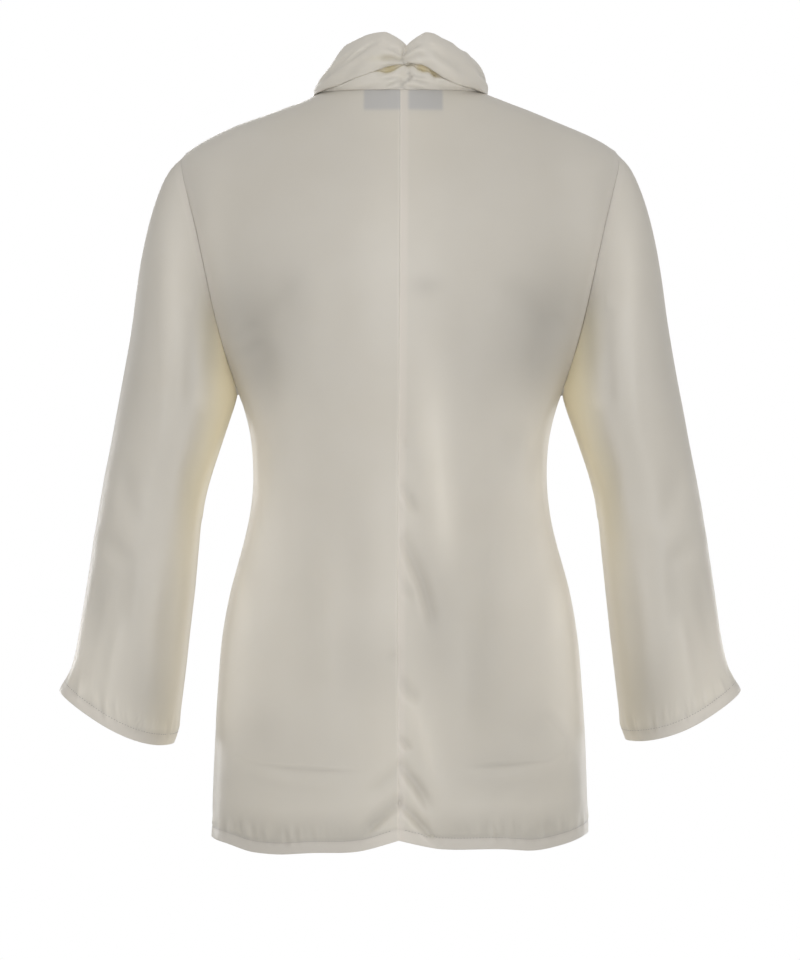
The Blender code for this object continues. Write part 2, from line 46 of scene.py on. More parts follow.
# All of the cloth
cloth = {
    "thick": 0.45 * mm,
    "levels": 3,  # rounds of smoothing from the solid's grid
    "weld": 0.01 * mm,
    "rimEdge": 2.2 * mm,  # the rims of the solids' walls are narrower than this
    "hemBelow": -665 * mm,  # the edge points of a panel below this height are its hem
    "cuffBelow": -500 * mm,
    "neckAbove": -200 * mm,  # and those above this height are its neck
    "meet": 1.0 * mm,  # edges of two pieces this close lie in one seam
    "far": 40 * mm,  # distances from an edge are taken up to this
    "unevenness": ((52 * mm, 0.5 * mm), (17 * mm, 0.1 * mm)),  # (size, rise) of the soft unevenness
    "paintedShading": (0.018, 0.10),  # the shading painted into the satin by a fold, darker where it dips and lighter where it rises: by its depth, and by depth over width
    "toneLimits": (-0.24, 0.10),
    "fine": {"below": -0.575, "within": 0.150},  # the backs' mesh is finer near the hem's middle
    "foldEnds": (0.4, 0.5),  # the shares of its path over which a fold starts and finishes
    "lipAt": 1.5,  # how many widths from its path a fold's lip lies
    # a fold whose path starts this near x = 0, in millimetres, starts at the centre seam and stays
    # on its own side, where it fades out over so much
    "atSeam": 3,
    "overSeam": 2.5 * mm,
    "foldsShut": (5 * mm, 14 * mm),  # folds are flatter from a side seam to this far in
    "sleeveBack": (-0.25, 0.35),  # a sleeve's front passes into its back between these normals
    "centreHighlight": (0.08, 1.4 * mm),  # a painted highlight, a paler line along the centre-back seam that lightens the shade at its edge, and its width
    "underarm": (0.35 * mm, 0.03, 0.3, 0.6),  # how deep the sleeve's own seam lies, and its normals
    # how far in from an edge the cloth starts to roll under, and the most of its last cell
    "roundEdge": (0.8 * mm, 0.45),
    # rows of a turned edge: (share of the turn, depth)
    "rolled": ((0.0, 0.06 * mm), (-0.004, 0.2 * mm), (-0.004, 0.5 * mm), (0.01, 0.8 * mm)),
    "allowance": ((0.5, 1.0 * mm), (1.0, 1.0 * mm)),
    "neckTurn": 5 * mm,
    "overlap": 0.7 * mm,  # how much deeper the left half's allowance lies at the centre back
    # how far the cloth rises or dips towards each kind of seam, and over what width
    "seamRise": {
        "centre": (-0.16 * mm, 1.6 * mm),
        "side": (-0.2 * mm, 2.4 * mm),
        "armholeBody": (0.5 * mm, 5.0 * mm),
        "armholeSleeve": (-0.8 * mm, 5.0 * mm),
        "neck": (-0.4 * mm, 3.0 * mm),
    },
    # an armhole's seam is this much flatter at the armpit and at the shoulder
    "armholeEnds": (0.7, (-0.20, -0.27), (-0.105, -0.075)),
}

# The hung garment differs a little from its solids, in millimetres, as (place, reach, move)
reshapes = [
    ((-199, 0, -58), (42, 70, 40), (-2.0, 0, 4.8)),
    ((202, 0, -62), (42, 70, 40), (1.4, 0, 3.2)),
    ((112, 0, -15), (30, 80, 40), (0, 0, -2.4)),
    ((88, 0, -4), (12, 80, 30), (0, 0, -2.0)),
    ((285, 0, -415), (40, 70, 85), (2.6, 0, 0)),
    ((-285, 0, -400), (40, 70, 85), (-3.4, 0, 0)),
    ((228, 0, -610), (45, 70, 45), (0, 0, -4.2)),
    ((0, 100, -470), (40, 60, 230), (2.4, 0, 0)),
    ((115, 90, -684), (34, 60, 60), (0, 0, -6.2)),
    ((52, 100, -684), (40, 60, 60), (0, 0, -2.6)),
    ((-122, 90, -684), (24, 60, 60), (0, 0, -3.6)),
    ((-168, 0, -684), (16, 60, 40), (0, 0, 4.5)),
    ((139, 90, -684), (15, 60, 60), (0, 0, -1.9)),
    ((199, 0, -55), (9, 60, 30), (0, 0, -1.7)),
    ((-198, 0, -55), (9, 60, 30), (0, 0, -0.9)),
]

# Folds are rows of (path, width, depth, lip, start, finish) in millimetres. The path is seen from
# the back, as (x, z), depth is below zero for a trough, lip is a rise beside it on the path's left,
# and start and finish are the share of the depth that is left at the path's two ends. They are 0
# where they aren't given. Flat sizes are in metres and areas in square metres.
backPanels = {
    "folds": [
        # from the lower centre-back seam
        ([(-1, -608), (-15, -627), (-32, -654)], 5.0, -3.8, 1.8, 0.6, 0),
        ([(-1, -643), (-12, -654), (-21, -664), (-34, -678)], 4.2, -3.8, 1.8, 0.5, 0.3),
        ([(-1, -585), (-11, -596)], 3.6, -2.2, 0.8, 0.8, 0),
        ([(-2, -536), (-18, -556)], 5.0, -2.4, 1.0, 0.6, 0),
        ([(2, -643), (10, -650), (22, -661), (38, -676)], 3.8, -3.4, -1.6, 0.8, 0.2),
        ([(1, -612), (18, -628), (34, -640)], 7.0, -1.6, 0.6, 0.7, 0),
        ([(1, -508), (14, -520)], 5.5, -1.1, 0.4, 0.5, 0),
        ([(-3, -408), (-12, -428), (-20, -447), (-27, -472), (-32, -502)], 5.6, -3.2, 1.3, 0.6, 0),
        ([(-2, -450), (-14, -462)], 4.6, -1.4, 0.6, 0.6, 0),
        ([(-2, -362), (-9, -372), (-16, -388)], 4.2, -2.2, 0.8, 0.6, 0),
        ([(-3, -322), (-6, -330)], 3.6, -1.0, 0.3, 0.7, 0),
        # the soft line across, a hand above the hem
        ([(24, -614), (52, -614), (100, -613), (132, -610), (148, -604)], 1.5, -0.9, 0.4, 0.0, 0.2),
        ([(-52, -611), (-92, -610), (-132, -608), (-147, -601)], 1.5, -0.9, 0.4, 0.0, 0.2),
        ([(150, -612), (100, -622), (40, -623)], 7.0, 0.9, -0.3, 0.4, 0),
        ([(-148, -610), (-100, -619), (-50, -620)], 7.0, 0.9, -0.3, 0.4, 0),
        ([(-150, -602), (-150, -587), (-131, -566), (-114, -558)], 4.5, -1.0, 0.4, 0.7, 0),
        # below the shoulder blades, towards the armholes
        ([(134, -182), (128, -232), (118, -285), (110, -332)], 17, -4.2, 0.8, 0.1, 0),
        ([(-137, -160), (-131, -215), (-124, -270), (-115, -322)], 20, -4.2, -0.8, 0.1, 0),
        ([(-90, -164), (-117, -195), (-150, -236)], 13, -1.1, 0.5, 0.0, 0.2),
        ([(84, -166), (110, -192), (142, -226)], 10, -1.4, -0.6, 0.0, 0.2),
        ([(148, -224), (126, -208)], 5.5, -0.8, 0.4, 0.7, 0),
        ([(146, -240), (120, -229)], 5.5, -0.8, 0.4, 0.7, 0),
        ([(-152, -214), (-136, -203)], 5.5, -0.7, 0.3, 0.7, 0),
        # long soft folds from the waist to the hem
        ([(-20, -258), (-31, -335), (-39, -400), (-50, -452)], 13.5, 3.6, -1.2),
        ([(-9, -538), (-24, -600), (-38, -650)], 8, 2.2, -0.9),
        ([(98, -300), (101, -380), (104, -460), (112, -540)], 13, -1.4, 1.2),
        ([(-96, -300), (-100, -380), (-104, -460), (-112, -540)], 13, -1.4, -1.2),
        ([(44, -330), (40, -430), (36, -520)], 16, -1.5, 0.6),
        ([(62, -380), (64, -480), (60, -590)], 12, 1.2, -0.6),
        ([(-70, -390), (-76, -480), (-74, -600)], 14, -1.6, 0.7),
        ([(134, -300), (124, -338), (122, -372)], 8, -1.2, 0.6),
        ([(-132, -300), (-122, -338), (-120, -372)], 8, -1.2, 0.6),
    ],
    # soft patches of painted highlight and painted shade on the satin, as (x, z, wide, high, amount)
    "sheen": [
        (0, -125, 80, 55, 0.02), (137, -230, 30, 64, -0.125), (-135, -218, 36, 64, -0.115),
        (-66, -240, 40, 60, -0.06), (112, -400, 26, 110, 0.13), (-112, -410, 24, 105, 0.12),
        (150, -500, 22, 90, 0.14), (-150, -505, 22, 90, 0.13), (-34, -325, 14, 60, 0.06),
        (-42, -392, 11, 46, 0.08), (-20, -428, 14, 20, -0.05), (-33, -468, 20, 50, -0.12),
        (-62, -522, 55, 50, -0.09), (28, -520, 36, 38, -0.09), (-80, -575, 38, 40, -0.07),
        (-90, -622, 52, 26, -0.09), (80, -600, 60, 40, -0.04), (170, -134, 15, 42, 0.10),
        (-172, -134, 15, 42, 0.06), (-9, -560, 7, 30, 0.05), (110, -42, 60, 26, 0.03),
        (-110, -42, 60, 26, 0.02), (91, -200, 16, 42, -0.07), (150, -200, 14, 22, -0.05),
        (-152, -200, 18, 30, -0.05), (-96, -196, 16, 36, -0.02), (-23, -184, 13, 9, -0.10),
        (-27, -270, 15, 46, 0.06), (-104, -325, 15, 26, -0.07), (107, -330, 12, 24, -0.05),
        (168, -625, 10, 50, -0.14), (-168, -625, 10, 50, -0.14), (126, -578, 26, 22, -0.06),
        (-126, -578, 26, 22, -0.07),
        (126, -360, 8, 32, 0.09), (131, -412, 9, 34, 0.08), (143, -468, 9, 34, 0.12),
        (-126, -360, 8, 32, 0.08), (-131, -412, 9, 34, 0.08), (-143, -468, 9, 34, 0.12),
    ],
    "seamTurn": 7.0 * mm,
    "flat": (0.245, 0.715),
    "area": 0.154,
}
frontPanel = {
    "folds": [
        ([(88, -268), (94, -330), (92, -400)], 12, -3.4, 1.4, 0.1, 0),
        ([(-84, -266), (-92, -334), (-94, -396)], 13, -3.6, 1.4, 0.1, 0),
        ([(34, -196), (20, -240), (6, -262)], 9, -1.9, 0.9),
        ([(-38, -192), (-22, -232), (-4, -252)], 10, -2.2, 0.9),
        ([(62, -150), (36, -190), (4, -212)], 8, -2.0, 1.0, 0.2, 0),
        ([(-58, -144), (-30, -182), (-2, -198)], 8, -1.8, 1.0, 0.2, 0),
        ([(132, -262), (112, -250), (92, -246)], 9, -2.4, 1.1, 0.5, 0),
        ([(-134, -264), (-112, -254), (-90, -247)], 9, -2.4, 1.1, 0.5, 0),
        ([(46, -420), (56, -520), (64, -640)], 14, -3.2, 1.4, 0.0, 0.3),
        ([(-28, -440), (-40, -540), (-46, -660)], 13, -3.4, 1.4, 0.0, 0.4),
        ([(8, -470), (10, -560), (12, -670)], 11, 2.2, -0.7, 0.0, 0.4),
        ([(104, -430), (118, -530), (124, -660)], 12, -2.8, 1.2, 0.0, 0.3),
        ([(-98, -420), (-112, -520), (-122, -650)], 12, -2.6, 1.3, 0.0, 0.3),
        ([(16, -300), (10, -360), (14, -420)], 14, -2.0, 0.8),
        ([(-70, -606), (-20, -613), (40, -611), (96, -607)], 4.2, 1.2, -0.5),
    ],
    # soft patches of painted highlight and painted shade, as on the backs
    "sheen": [
        (134, -240, 30, 50, -0.08), (-134, -236, 30, 50, -0.08), (146, -500, 26, 70, 0.02),
        (-146, -500, 26, 70, 0.02), (10, -560, 14, 80, 0.05), (70, -640, 60, 24, -0.05),
    ],
    "seamTurn": 7.0 * mm,
    "flat": (0.47, 0.715),
    "area": 0.296,
}
sleeves = {
    "backFolds": [
        ([(204, -92), (210, -180), (212, -300), (206, -380)], 11, 2.4, -1.0),
        ([(186, -206), (188, -260), (190, -330)], 8, -1.8, 0.8, 0.5, 0),
        ([(176, -300), (190, -352), (196, -420)], 8, -2.2, 1.0, 0.6, 0),
        ([(240, -150), (246, -250), (250, -340)], 15, -1.8, 0.8),
        ([(252, -330), (246, -372), (234, -408)], 9, -1.6, 0.8),
        ([(276, -398), (256, -420), (238, -436)], 8, -1.6, 0.8, 0.3, 0),
        ([(230, -410), (238, -470), (236, -530)], 10, 1.8, -0.8),
        ([(204, -420), (212, -480), (218, -552)], 8, -1.8, 0.8, 0.0, 0.3),
        ([(270, -430), (280, -480), (290, -530)], 8, -1.6, 0.7, 0.0, 0.3),
        ([(252, -470), (262, -520), (268, -556)], 6, 1.0, -0.4, 0.0, 0.4),
    ],
    "frontFolds": [
        ([(180, -240), (202, -270), (220, -300)], 11, -2.6, 1.2, 0.5, 0),
        ([(186, -300), (206, -336), (232, -352)], 10, -2.6, 1.3, 0.3, 0),
        ([(190, -348), (214, -372), (244, -384)], 9, -2.5, 1.3, 0.4, 0),
        ([(262, -330), (246, -366), (226, -396)], 9, -2.1, 1.0),
        ([(192, -400), (216, -424), (240, -430)], 9, -1.9, 1.0, 0.4, 0),
        ([(240, -440), (250, -490), (262, -540)], 11, -2.1, 0.9, 0.0, 0.2),
        ([(214, -470), (222, -520), (228, -566)], 8, 1.7, -0.6, 0.0, 0.2),
        ([(212, -96), (224, -150), (232, -210)], 10, -1.5, 0.7),
    ],
    # soft patches of painted highlight and painted shade, as on the backs
    "sheen": [
        (207, -150, 12, 60, 0.04), (184, -190, 8, 60, -0.06), (294, -512, 22, 52, 0.22),
        (204, -260, 16, 60, -0.07), (206, -350, 20, 60, -0.06), (171, -206, 9, 36, -0.24),
        (174, -250, 8, 26, -0.10), (228, -560, 24, 54, -0.18), (236, -466, 10, 40, -0.06),
        (224, -235, 10, 70, 0.07), (262, -400, 18, 50, 0.05), (240, -440, 20, 40, -0.05),
    ],
    "seamTurn": 6.0 * mm,
    "flat": (0.50, 0.54),
    "area": 0.153,
}
hems = {
    "turn": 11.5 * mm,
    "puckers": ((4.6, 0.9), (9.0, 1.2)),  # (size, rise) in millimetres
    "puckersAt": (15 * mm, 9 * mm),  # their height above the edge, and their reach
    "puckersFrom": (2 * mm, 9 * mm),  # the edge itself has none
    "puckersRound": (140, 50),  # how fast they change along a hem and along a cuff
    "puckersLong": 4,
    "puckersLeast": 0.02,
    "slant": 120,
    "pulled": 0.12,  # how much of them is left at the middle of the back
    "pulledWithin": (40 * mm, 130 * mm),
    "puckerShading": (0.12, -0.1, 0.06),  # painted shading on the puckers for a millimetre's rise, lighter where they rise and darker where they dip, and its limits
    "groove": (0.5 * mm, 1.4 * mm),  # how deep and how wide the stitches draw the cloth in
    # painted shade along the stitches' groove
    "grooveTone": 0.10,
    "stitch": (2.0 * mm, 0.6 * mm),  # length and thickness
    "pitch": 2.9 * mm,
    "sunk": 0.06 * mm,
    "stitchUp": 10.2 * mm,
    # painted shade on the hem's cloth: darker above its stitches, less so below them, at the middle and at
    # the sides
    "drawnShade": (-0.25, 11 * mm, 24 * mm),
    "drawnBelow": (0.45, 2 * mm),
    "drawnFrom": (3 * mm, 55 * mm),
    "drawnTo": (0.5, 130 * mm, 165 * mm),
    # how far the cuff's outer corner stands out and its inner one turns in, over what height, and
    # between which normals
    "flare": (4.2 * mm, 15 * mm, 0.35, 0.95),
    "tuck": (2.2 * mm, 6 * mm, 0.6, 0.98),
    "cuffAxis": 0.25,  # about how far out the middle of a cuff lies
    "cuffAbove": -0.62,  # the cuffs lie above this height, and the hem below it
}


def smoothStep(low, high, values):
    share = np.clip((values - low) / (high - low), 0, 1)
    return share * share * (3 - 2 * share)


def alongPath(points, path):
    # how far each point lies from a path, on which side, and at what share of the path
    corners = np.array(path, float) * mm
    total = np.linalg.norm(np.diff(corners, axis=0), axis=1).sum()
    nearest = np.full(len(points), 1e9)
    side, place = np.zeros(len(points)), np.zeros(len(points))
    run = 0.0
    for a, b in zip(corners, corners[1:]):
        step = b - a
        length = np.linalg.norm(step)
        share = np.clip((points - a) @ step / length**2, 0, 1)
        away = points - a - share[:, None] * step
        far = np.linalg.norm(away, axis=1)
        nearer = far < nearest
        nearest[nearer] = far[nearer]
        side[nearer] = np.sign(step[0] * away[:, 1] - step[1] * away[:, 0])[nearer]
        place[nearer] = (run + share * length)[nearer] / total
        run += length
    return nearest, side, place


def foldRise(points, folds):
    # how far folds move the cloth out at points (x, z), and the shading painted with them
    found = np.zeros((2, len(points)))
    starting, finishing = cloth["foldEnds"]
    for path, width, depth, lip, *ends in folds:
        start, finish = ends or (0, 0)
        far, side, place = alongPath(points, path)
        reach = far / (width * mm)
        strength = start + (1 - start) * smoothStep(0, starting, place)
        strength = strength * (finish + (1 - finish) * smoothStep(1, finishing, place))
        if abs(path[0][0]) <= cloth["atSeam"]:
            over = np.clip(-points[:, 0] * np.sign(path[-1][0]), 0, None)
            strength = strength * np.exp(-((over / cloth["overSeam"]) ** 2))
        beside = np.exp(-((reach * side - cloth["lipAt"]) ** 2))
        rise = (depth * np.exp(-(reach**2)) + lip * beside) * strength
        byDepth, bySlope = cloth["paintedShading"]
        found += np.outer((mm, byDepth + bySlope / width), rise)
    return found


def unevenness(points, seed):
    rise = np.zeros(len(points))
    for size, height in cloth["unevenness"]:
        rise += [noise.noise(Vector(p) / size + Vector((seed, 0, 0))) * height for p in points]
    return rise


def islands(bm):
    found, seen = [], set()
    for first in bm.faces:
        if first in seen:
            continue
        seen.add(first)
        island = [first]
        for face in island:
            for edge in face.edges:
                fresh = [other for other in edge.link_faces if other not in seen]
                seen.update(fresh)
                island.extend(fresh)
        found.append(island)
    return found


def rowNumbers(bm, below):
    # counts the rows of a grid up from its edge points that lie below a height
    rows = {vert: 0 for vert in bm.verts if vert.is_boundary and vert.co.z < below}
    reached = list(rows)
    for vert in reached:
        for edge in vert.link_edges:
            other = edge.other_vert(vert)
            if other not in rows:
                rows[other] = rows[vert] + 1
                reached.append(other)
    return rows


def diagonals(bm, below):
    # The wall is a grid cut into triangles, two to a cell: one has its base in the cell's lower row
    # and one in the upper. A triangle with one such partner left must pair with it, and that
    # settles its neighbours, until each has found the other half of its cell.
    rows = rowNumbers(bm, below)
    single = set(bm.faces)
    found = []

    def baseIsLow(face):
        heights = sorted(rows[vert] for vert in face.verts)
        return heights[1] == heights[0]

    def partners(face):
        return [(edge, other) for edge in face.edges for other in edge.link_faces
                if other != face and other in single and rows[edge.verts[0]] != rows[edge.verts[1]]
                and baseIsLow(other) != baseIsLow(face)]

    def squareness(edge):
        lengths = [max(e.calc_length() for e in f.edges if e != edge) for f in edge.link_faces]
        return edge.calc_length() / max(lengths) if len(lengths) == 2 else 0

    waiting = list(bm.faces)
    best = sorted(bm.edges, key=squareness)
    while single:
        while waiting:
            face = waiting.pop()
            ways = partners(face) if face in single else []
            if len(ways) == 1:
                found.append(ways[0][0])
                single -= {face, ways[0][1]}
                waiting += [f for half in (face, ways[0][1]) for e in half.edges for f in e.link_faces]
        while single and not waiting:
            edge = best.pop()
            across = rows[edge.verts[0]] != rows[edge.verts[1]]
            if across and len(edge.link_faces) == 2 and single.issuperset(edge.link_faces):
                found.append(edge)
                single -= set(edge.link_faces)
                waiting = [f for face in edge.link_faces for e in face.edges for f in e.link_faces]
    return found


def outerFace(node):
    # the outer face of a panel's solid, as a grid of quads
    bm = bmesh.new()
    bm.from_mesh(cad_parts[node].data)
    bmesh.ops.remove_doubles(bm, verts=bm.verts, dist=cloth["weld"])
    rims = [f for f in bm.faces if min(e.calc_length() for e in f.edges) < cloth["rimEdge"]]
    bmesh.ops.delete(bm, geom=rims, context="FACES")
    walls = sorted(islands(bm), key=lambda wall: sum(face.calc_area() for face in wall))
    bmesh.ops.delete(bm, geom=[face for wall in walls[:-1] for face in wall], context="FACES")
    below = cloth["cuffBelow" if node.startswith("sleeve") else "hemBelow"]
    bmesh.ops.dissolve_edges(bm, edges=diagonals(bm, below), use_verts=False)
    return bm


def newThing(name, data=None):
    thing = bpy.data.objects.new(name, data or bpy.data.meshes.new(name))
    scene.collection.objects.link(thing)
    return thing


def treeOf(verts):
    tree = KDTree(len(verts))
    for vert in verts:
        tree.insert(vert.co, vert.index)
    tree.balance()
    return tree


def seamPartners(sheets):
    # for each piece, {edge point: the other pieces that meet it there}
    rims = {name: [vert for vert in bm.verts if vert.is_boundary] for name, bm in sheets.items()}
    trees = {name: treeOf(rim) for name, rim in rims.items()}
    found = {}
    for name, rim in rims.items():
        near = [{o for o, tree in trees.items() if tree.find(vert.co)[2] < cloth["meet"]} for vert in rim]
        found[name] = {vert.index: others - {name} for vert, others in zip(rim, near)}
    return found


def refined(bm, name):
    # Catmull-Clark turns the solid's coarse grid into smooth cloth
    thing = newThing(name)
    solid = thing.data
    bm.to_mesh(solid)
    bm.free()
    for spare in ("custom_normal", "sharp_face", "sharp_edge"):
        if spare in solid.attributes:
            solid.attributes.remove(solid.attributes[spare])
    smooth = thing.modifiers.new("smooth", "SUBSURF")
    smooth.levels = smooth.render_levels = cloth["levels"]
    smooth.boundary_smooth = "PRESERVE_CORNERS"
    made = bpy.data.meshes.new_from_object(thing.evaluated_get(bpy.context.evaluated_depsgraph_get()))
    thing.modifiers.clear()
    thing.data = made
    bpy.data.meshes.remove(solid)
    fine = bmesh.new()
    fine.from_mesh(made)
    if name.startswith("back"):
        low, wide = cloth["fine"]["below"], cloth["fine"]["within"]
        places = [(edge, (edge.verts[0].co + edge.verts[1].co) / 2) for edge in fine.edges]
        edges = [edge for edge, middle in places if middle.z < low and abs(middle.x) < wide]
        bmesh.ops.subdivide_edges(fine, edges=edges, cuts=1, use_grid_fill=True)
    fine.verts.index_update()
    fine.verts.ensure_lookup_table()
    return thing, fine


def arrayOf(bm, what="co"):
    return np.array([getattr(vert, what)[:] for vert in bm.verts])


def distances(bm, verts):
    # from each point of a piece to the nearest of some of its own edge points
    tree = treeOf(verts)
    return np.array([min(tree.find(vert.co)[2], cloth["far"]) for vert in bm.verts])


def intoCloth(vert):
    # the way from an edge point into its own cloth
    rim = [edge.other_vert(vert).co for edge in vert.link_edges if edge.is_boundary]
    middle = sum((face.calc_center_median() for face in vert.link_faces), Vector()) / len(vert.link_faces)
    way = middle - vert.co
    if len(rim) == 2:
        along = (rim[0] - rim[1]).normalized()
        way -= along * way.dot(along)
    return (way - vert.normal * way.dot(vert.normal)).normalized()


def turnUnder(bm, turns, over):
    # rolls the whole rim over and folds it under the surfaces over. turns gives how far each rim
    # point is folded in, below zero where it lies under the next piece instead, and how much deeper.
    inset, most = cloth["roundEdge"]
    edges = [edge for edge in bm.edges if edge.is_boundary]
    start = {vert: (vert.co.copy(), intoCloth(vert), vert.normal.copy(), *turns[vert])
             for vert in {vert for edge in edges for vert in edge.verts}}
    for vert, (co, into, out, turn, deeper) in start.items():
        room = min((edge.calc_length() for edge in vert.link_edges if not edge.is_boundary), default=1)
        vert.co = co + into * min(inset, most * room)
    for row, (share, depth) in enumerate(cloth["rolled"] + cloth["allowance"]):
        made = bmesh.ops.extrude_edge_only(bm, edges=edges)["geom"]
        edges = [part for part in made if isinstance(part, bmesh.types.BMEdge)
                 and not any(vert in start for vert in part.verts)]
        moved = {}
        for vert in made:
            if isinstance(vert, bmesh.types.BMVert):
                old = next(e.other_vert(vert) for e in vert.link_edges if e.other_vert(vert) in start)
                moved[vert] = start[old]
                co, into, out, turn, deeper = start[old]
                if row < len(cloth["rolled"]):
                    vert.co = co + into * share * abs(turn) - out * depth
                else:
                    found = [tree.find_nearest(co + into * share * turn) for tree in over]
                    place, way = min(found, key=lambda hit: hit[3])[:2]
                    vert.co = place - way * (depth + deeper)
        start = moved


def meetAtSeams(sheets):
    # the edges of two pieces move half of the way to each other
    rims = {name: [bm.verts[index] for index in seams[name]] for name, bm in sheets.items()}
    trees = {name: treeOf(rim) for name, rim in rims.items()}
    moves = []
    for name, rim in rims.items():
        for vert, others in zip(rim, seams[name].values()):
            places = [trees[other].find(vert.co)[0] for other in others]
            moves.append((vert, sum(places, vert.co.copy()) / (len(places) + 1)))
    for vert, place in moves:
        vert.co = place


def finishCloth(thing, bm, materials, thick=cloth["thick"]):
    # gives a sheet its thickness and its two faces
    bm.normal_update()
    bm.to_mesh(thing.data)
    bm.free()
    thing.data.shade_smooth()
    thing.data.materials.clear()
    for material in materials:
        thing.data.materials.append(material)
    wall = thing.modifiers.new("wall", "SOLIDIFY")
    wall.thickness = thick
    wall.offset = -1
    wall.material_offset = len(materials) - 1
    wall.material_offset_rim = 0


# Materials
finishes = {
    "satin": {"base": (0.697, 0.668, 0.616, 1), "shade": (0.679, 0.648, 0.592, 1),
              "rough": (0.36, 0.46)},
    "crepe": {"base": (0.695, 0.662, 0.598, 1), "shade": (0.670, 0.635, 0.566, 1),
              "rough": (0.66, 0.78)},
    # the shader's own sheen
    "sheen": {"Sheen Weight": 0.16, "Sheen Roughness": 0.35, "Sheen Tint": (1.0, 0.97, 0.9, 1),
              "IOR": 1.45},
    # the grain's scale and detail: a fine pebble, a coarser one with its share, and the weave with its
    "pebble": (1500, 2.0),
    "coarser": (420, 1.0, 0.6),
    "weave": ((900, 900, 5200), 0.5),
    "relief": (0.35, 0.12 * mm),
    "through": (0.84, 0.77, 0.58, 1),
    "throughShare": 0.26,
    "double": (0.735, 0.698, 0.645, 1),  # where a second layer lies behind the cloth
    "allowance": (0.752, 0.708, 0.650, 1),  # the same at the centre back, where it shows most
    "glow": (0.84, 0.75, 0.50, 1),  # a painted warm glow, where the cloth looks lit through, in its own colour
    "glowShare": 0.7,
    "label": {"base": (0.30, 0.30, 0.31, 1), "shade": (0.24, 0.24, 0.25, 1)},
    "labelShade": (0.54, 0.535, 0.532, 1),
    "thread": {"base": (0.34, 0.30, 0.255, 1), "shade": (0.41, 0.375, 0.325, 1)},
    "rim": (1.35, 0.8, 0.34),  # a painted highlight towards the outline: how closely it keeps to the outline, its share and its most
}


def fill(tree, made, inputs):
    # sets a node's inputs to values, or links them to the outputs of others
    for key, value in inputs.items():
        if isinstance(value, bpy.types.NodeSocket):
            tree.links.new(value, made.inputs[key])
        else:
            made.inputs[key].default_value = value
    return made


def node(tree, kind, inputs=None, **settings):
    made = tree.nodes.new("ShaderNode" + kind)
    for key, value in settings.items():
        setattr(made, key, value)
    return fill(tree, made, inputs or {})


def maths(tree, operation, *values):
    return node(tree, "Math", dict(enumerate(values)), operation=operation).outputs[0]


def ramp(tree, value, low, high):
    ends = {"Value": value, "From Min": low, "From Max": high}
    return node(tree, "MapRange", ends, interpolation_type="SMOOTHSTEP").outputs[0]


def mixed(tree, share, first, second):
    return node(tree, "Mix", {0: share, 6: first, 7: second}, data_type="RGBA").outputs[2]


def attribute(tree, name):
    return node(tree, "Attribute", attribute_name=name).outputs["Fac"]


def objectPlace(tree):
    return node(tree, "TexCoord").outputs["Object"]


def noiseOf(tree, place, scale, detail, **more):
    settings = {"Vector": place, "Scale": scale, "Detail": detail, **more}
    return node(tree, "TexNoise", settings).outputs["Fac"]


def bump(tree, height, strength, distance):
    settings = {"Height": height, "Strength": strength, "Distance": distance}
    return node(tree, "Bump", settings).outputs[0]


def group(name, inputs, outputs):
    tree = bpy.data.node_groups.new(name, "ShaderNodeTree")
    for key, value in inputs.items():
        socket = tree.interface.new_socket(key, in_out="INPUT", socket_type="NodeSocketFloat")
        socket.default_value = value
    for key in outputs:
        tree.interface.new_socket(key, in_out="OUTPUT", socket_type="NodeSocketFloat")
    return tree, tree.nodes.new("NodeGroupInput").outputs, tree.nodes.new("NodeGroupOutput")


def crepeGrain():
    # the fine pebble of crepe over a close plain weave, as a height
    tree, given, made = group("crepeGrain", {"Pebble": 1.0, "Weave": 1.0}, ["Height"])
    place = objectPlace(tree)
    *coarser, share = finishes["coarser"]
    scale, weaveShare = finishes["weave"]
    stretched = node(tree, "Mapping", {"Vector": place, "Scale": scale}).outputs[0]
    grain = noiseOf(tree, place, *finishes["pebble"], Roughness=0.6)
    grain = maths(tree, "MULTIPLY", grain, given["Pebble"])
    grain = maths(tree, "MULTIPLY_ADD", noiseOf(tree, place, *coarser), share, grain)
    weave = maths(tree, "MULTIPLY", noiseOf(tree, stretched, 1.0, 1.0), weaveShare)
    fill(tree, made, {"Height": maths(tree, "MULTIPLY_ADD", weave, given["Weave"], grain)})
    return tree


def softMottle():
    # slow changes of tone and lustre along the cloth
    tree, given, made = group("softMottle", {"Size": 14.0}, ["Mask", "Fine"])
    place = objectPlace(tree)
    fill(tree, made, {"Mask": ramp(tree, noiseOf(tree, place, given["Size"], 3.0), 0.3, 0.7),
                      "Fine": ramp(tree, noiseOf(tree, place, 700.0, 2.0), 0.3, 0.7)})
    return tree


grainGroup, mottleGroup = crepeGrain(), softMottle()


def newMaterial(name):
    material = bpy.data.materials.new(name)
    material.use_nodes = True
    return material, material.node_tree, material.node_tree.nodes["Principled BSDF"]


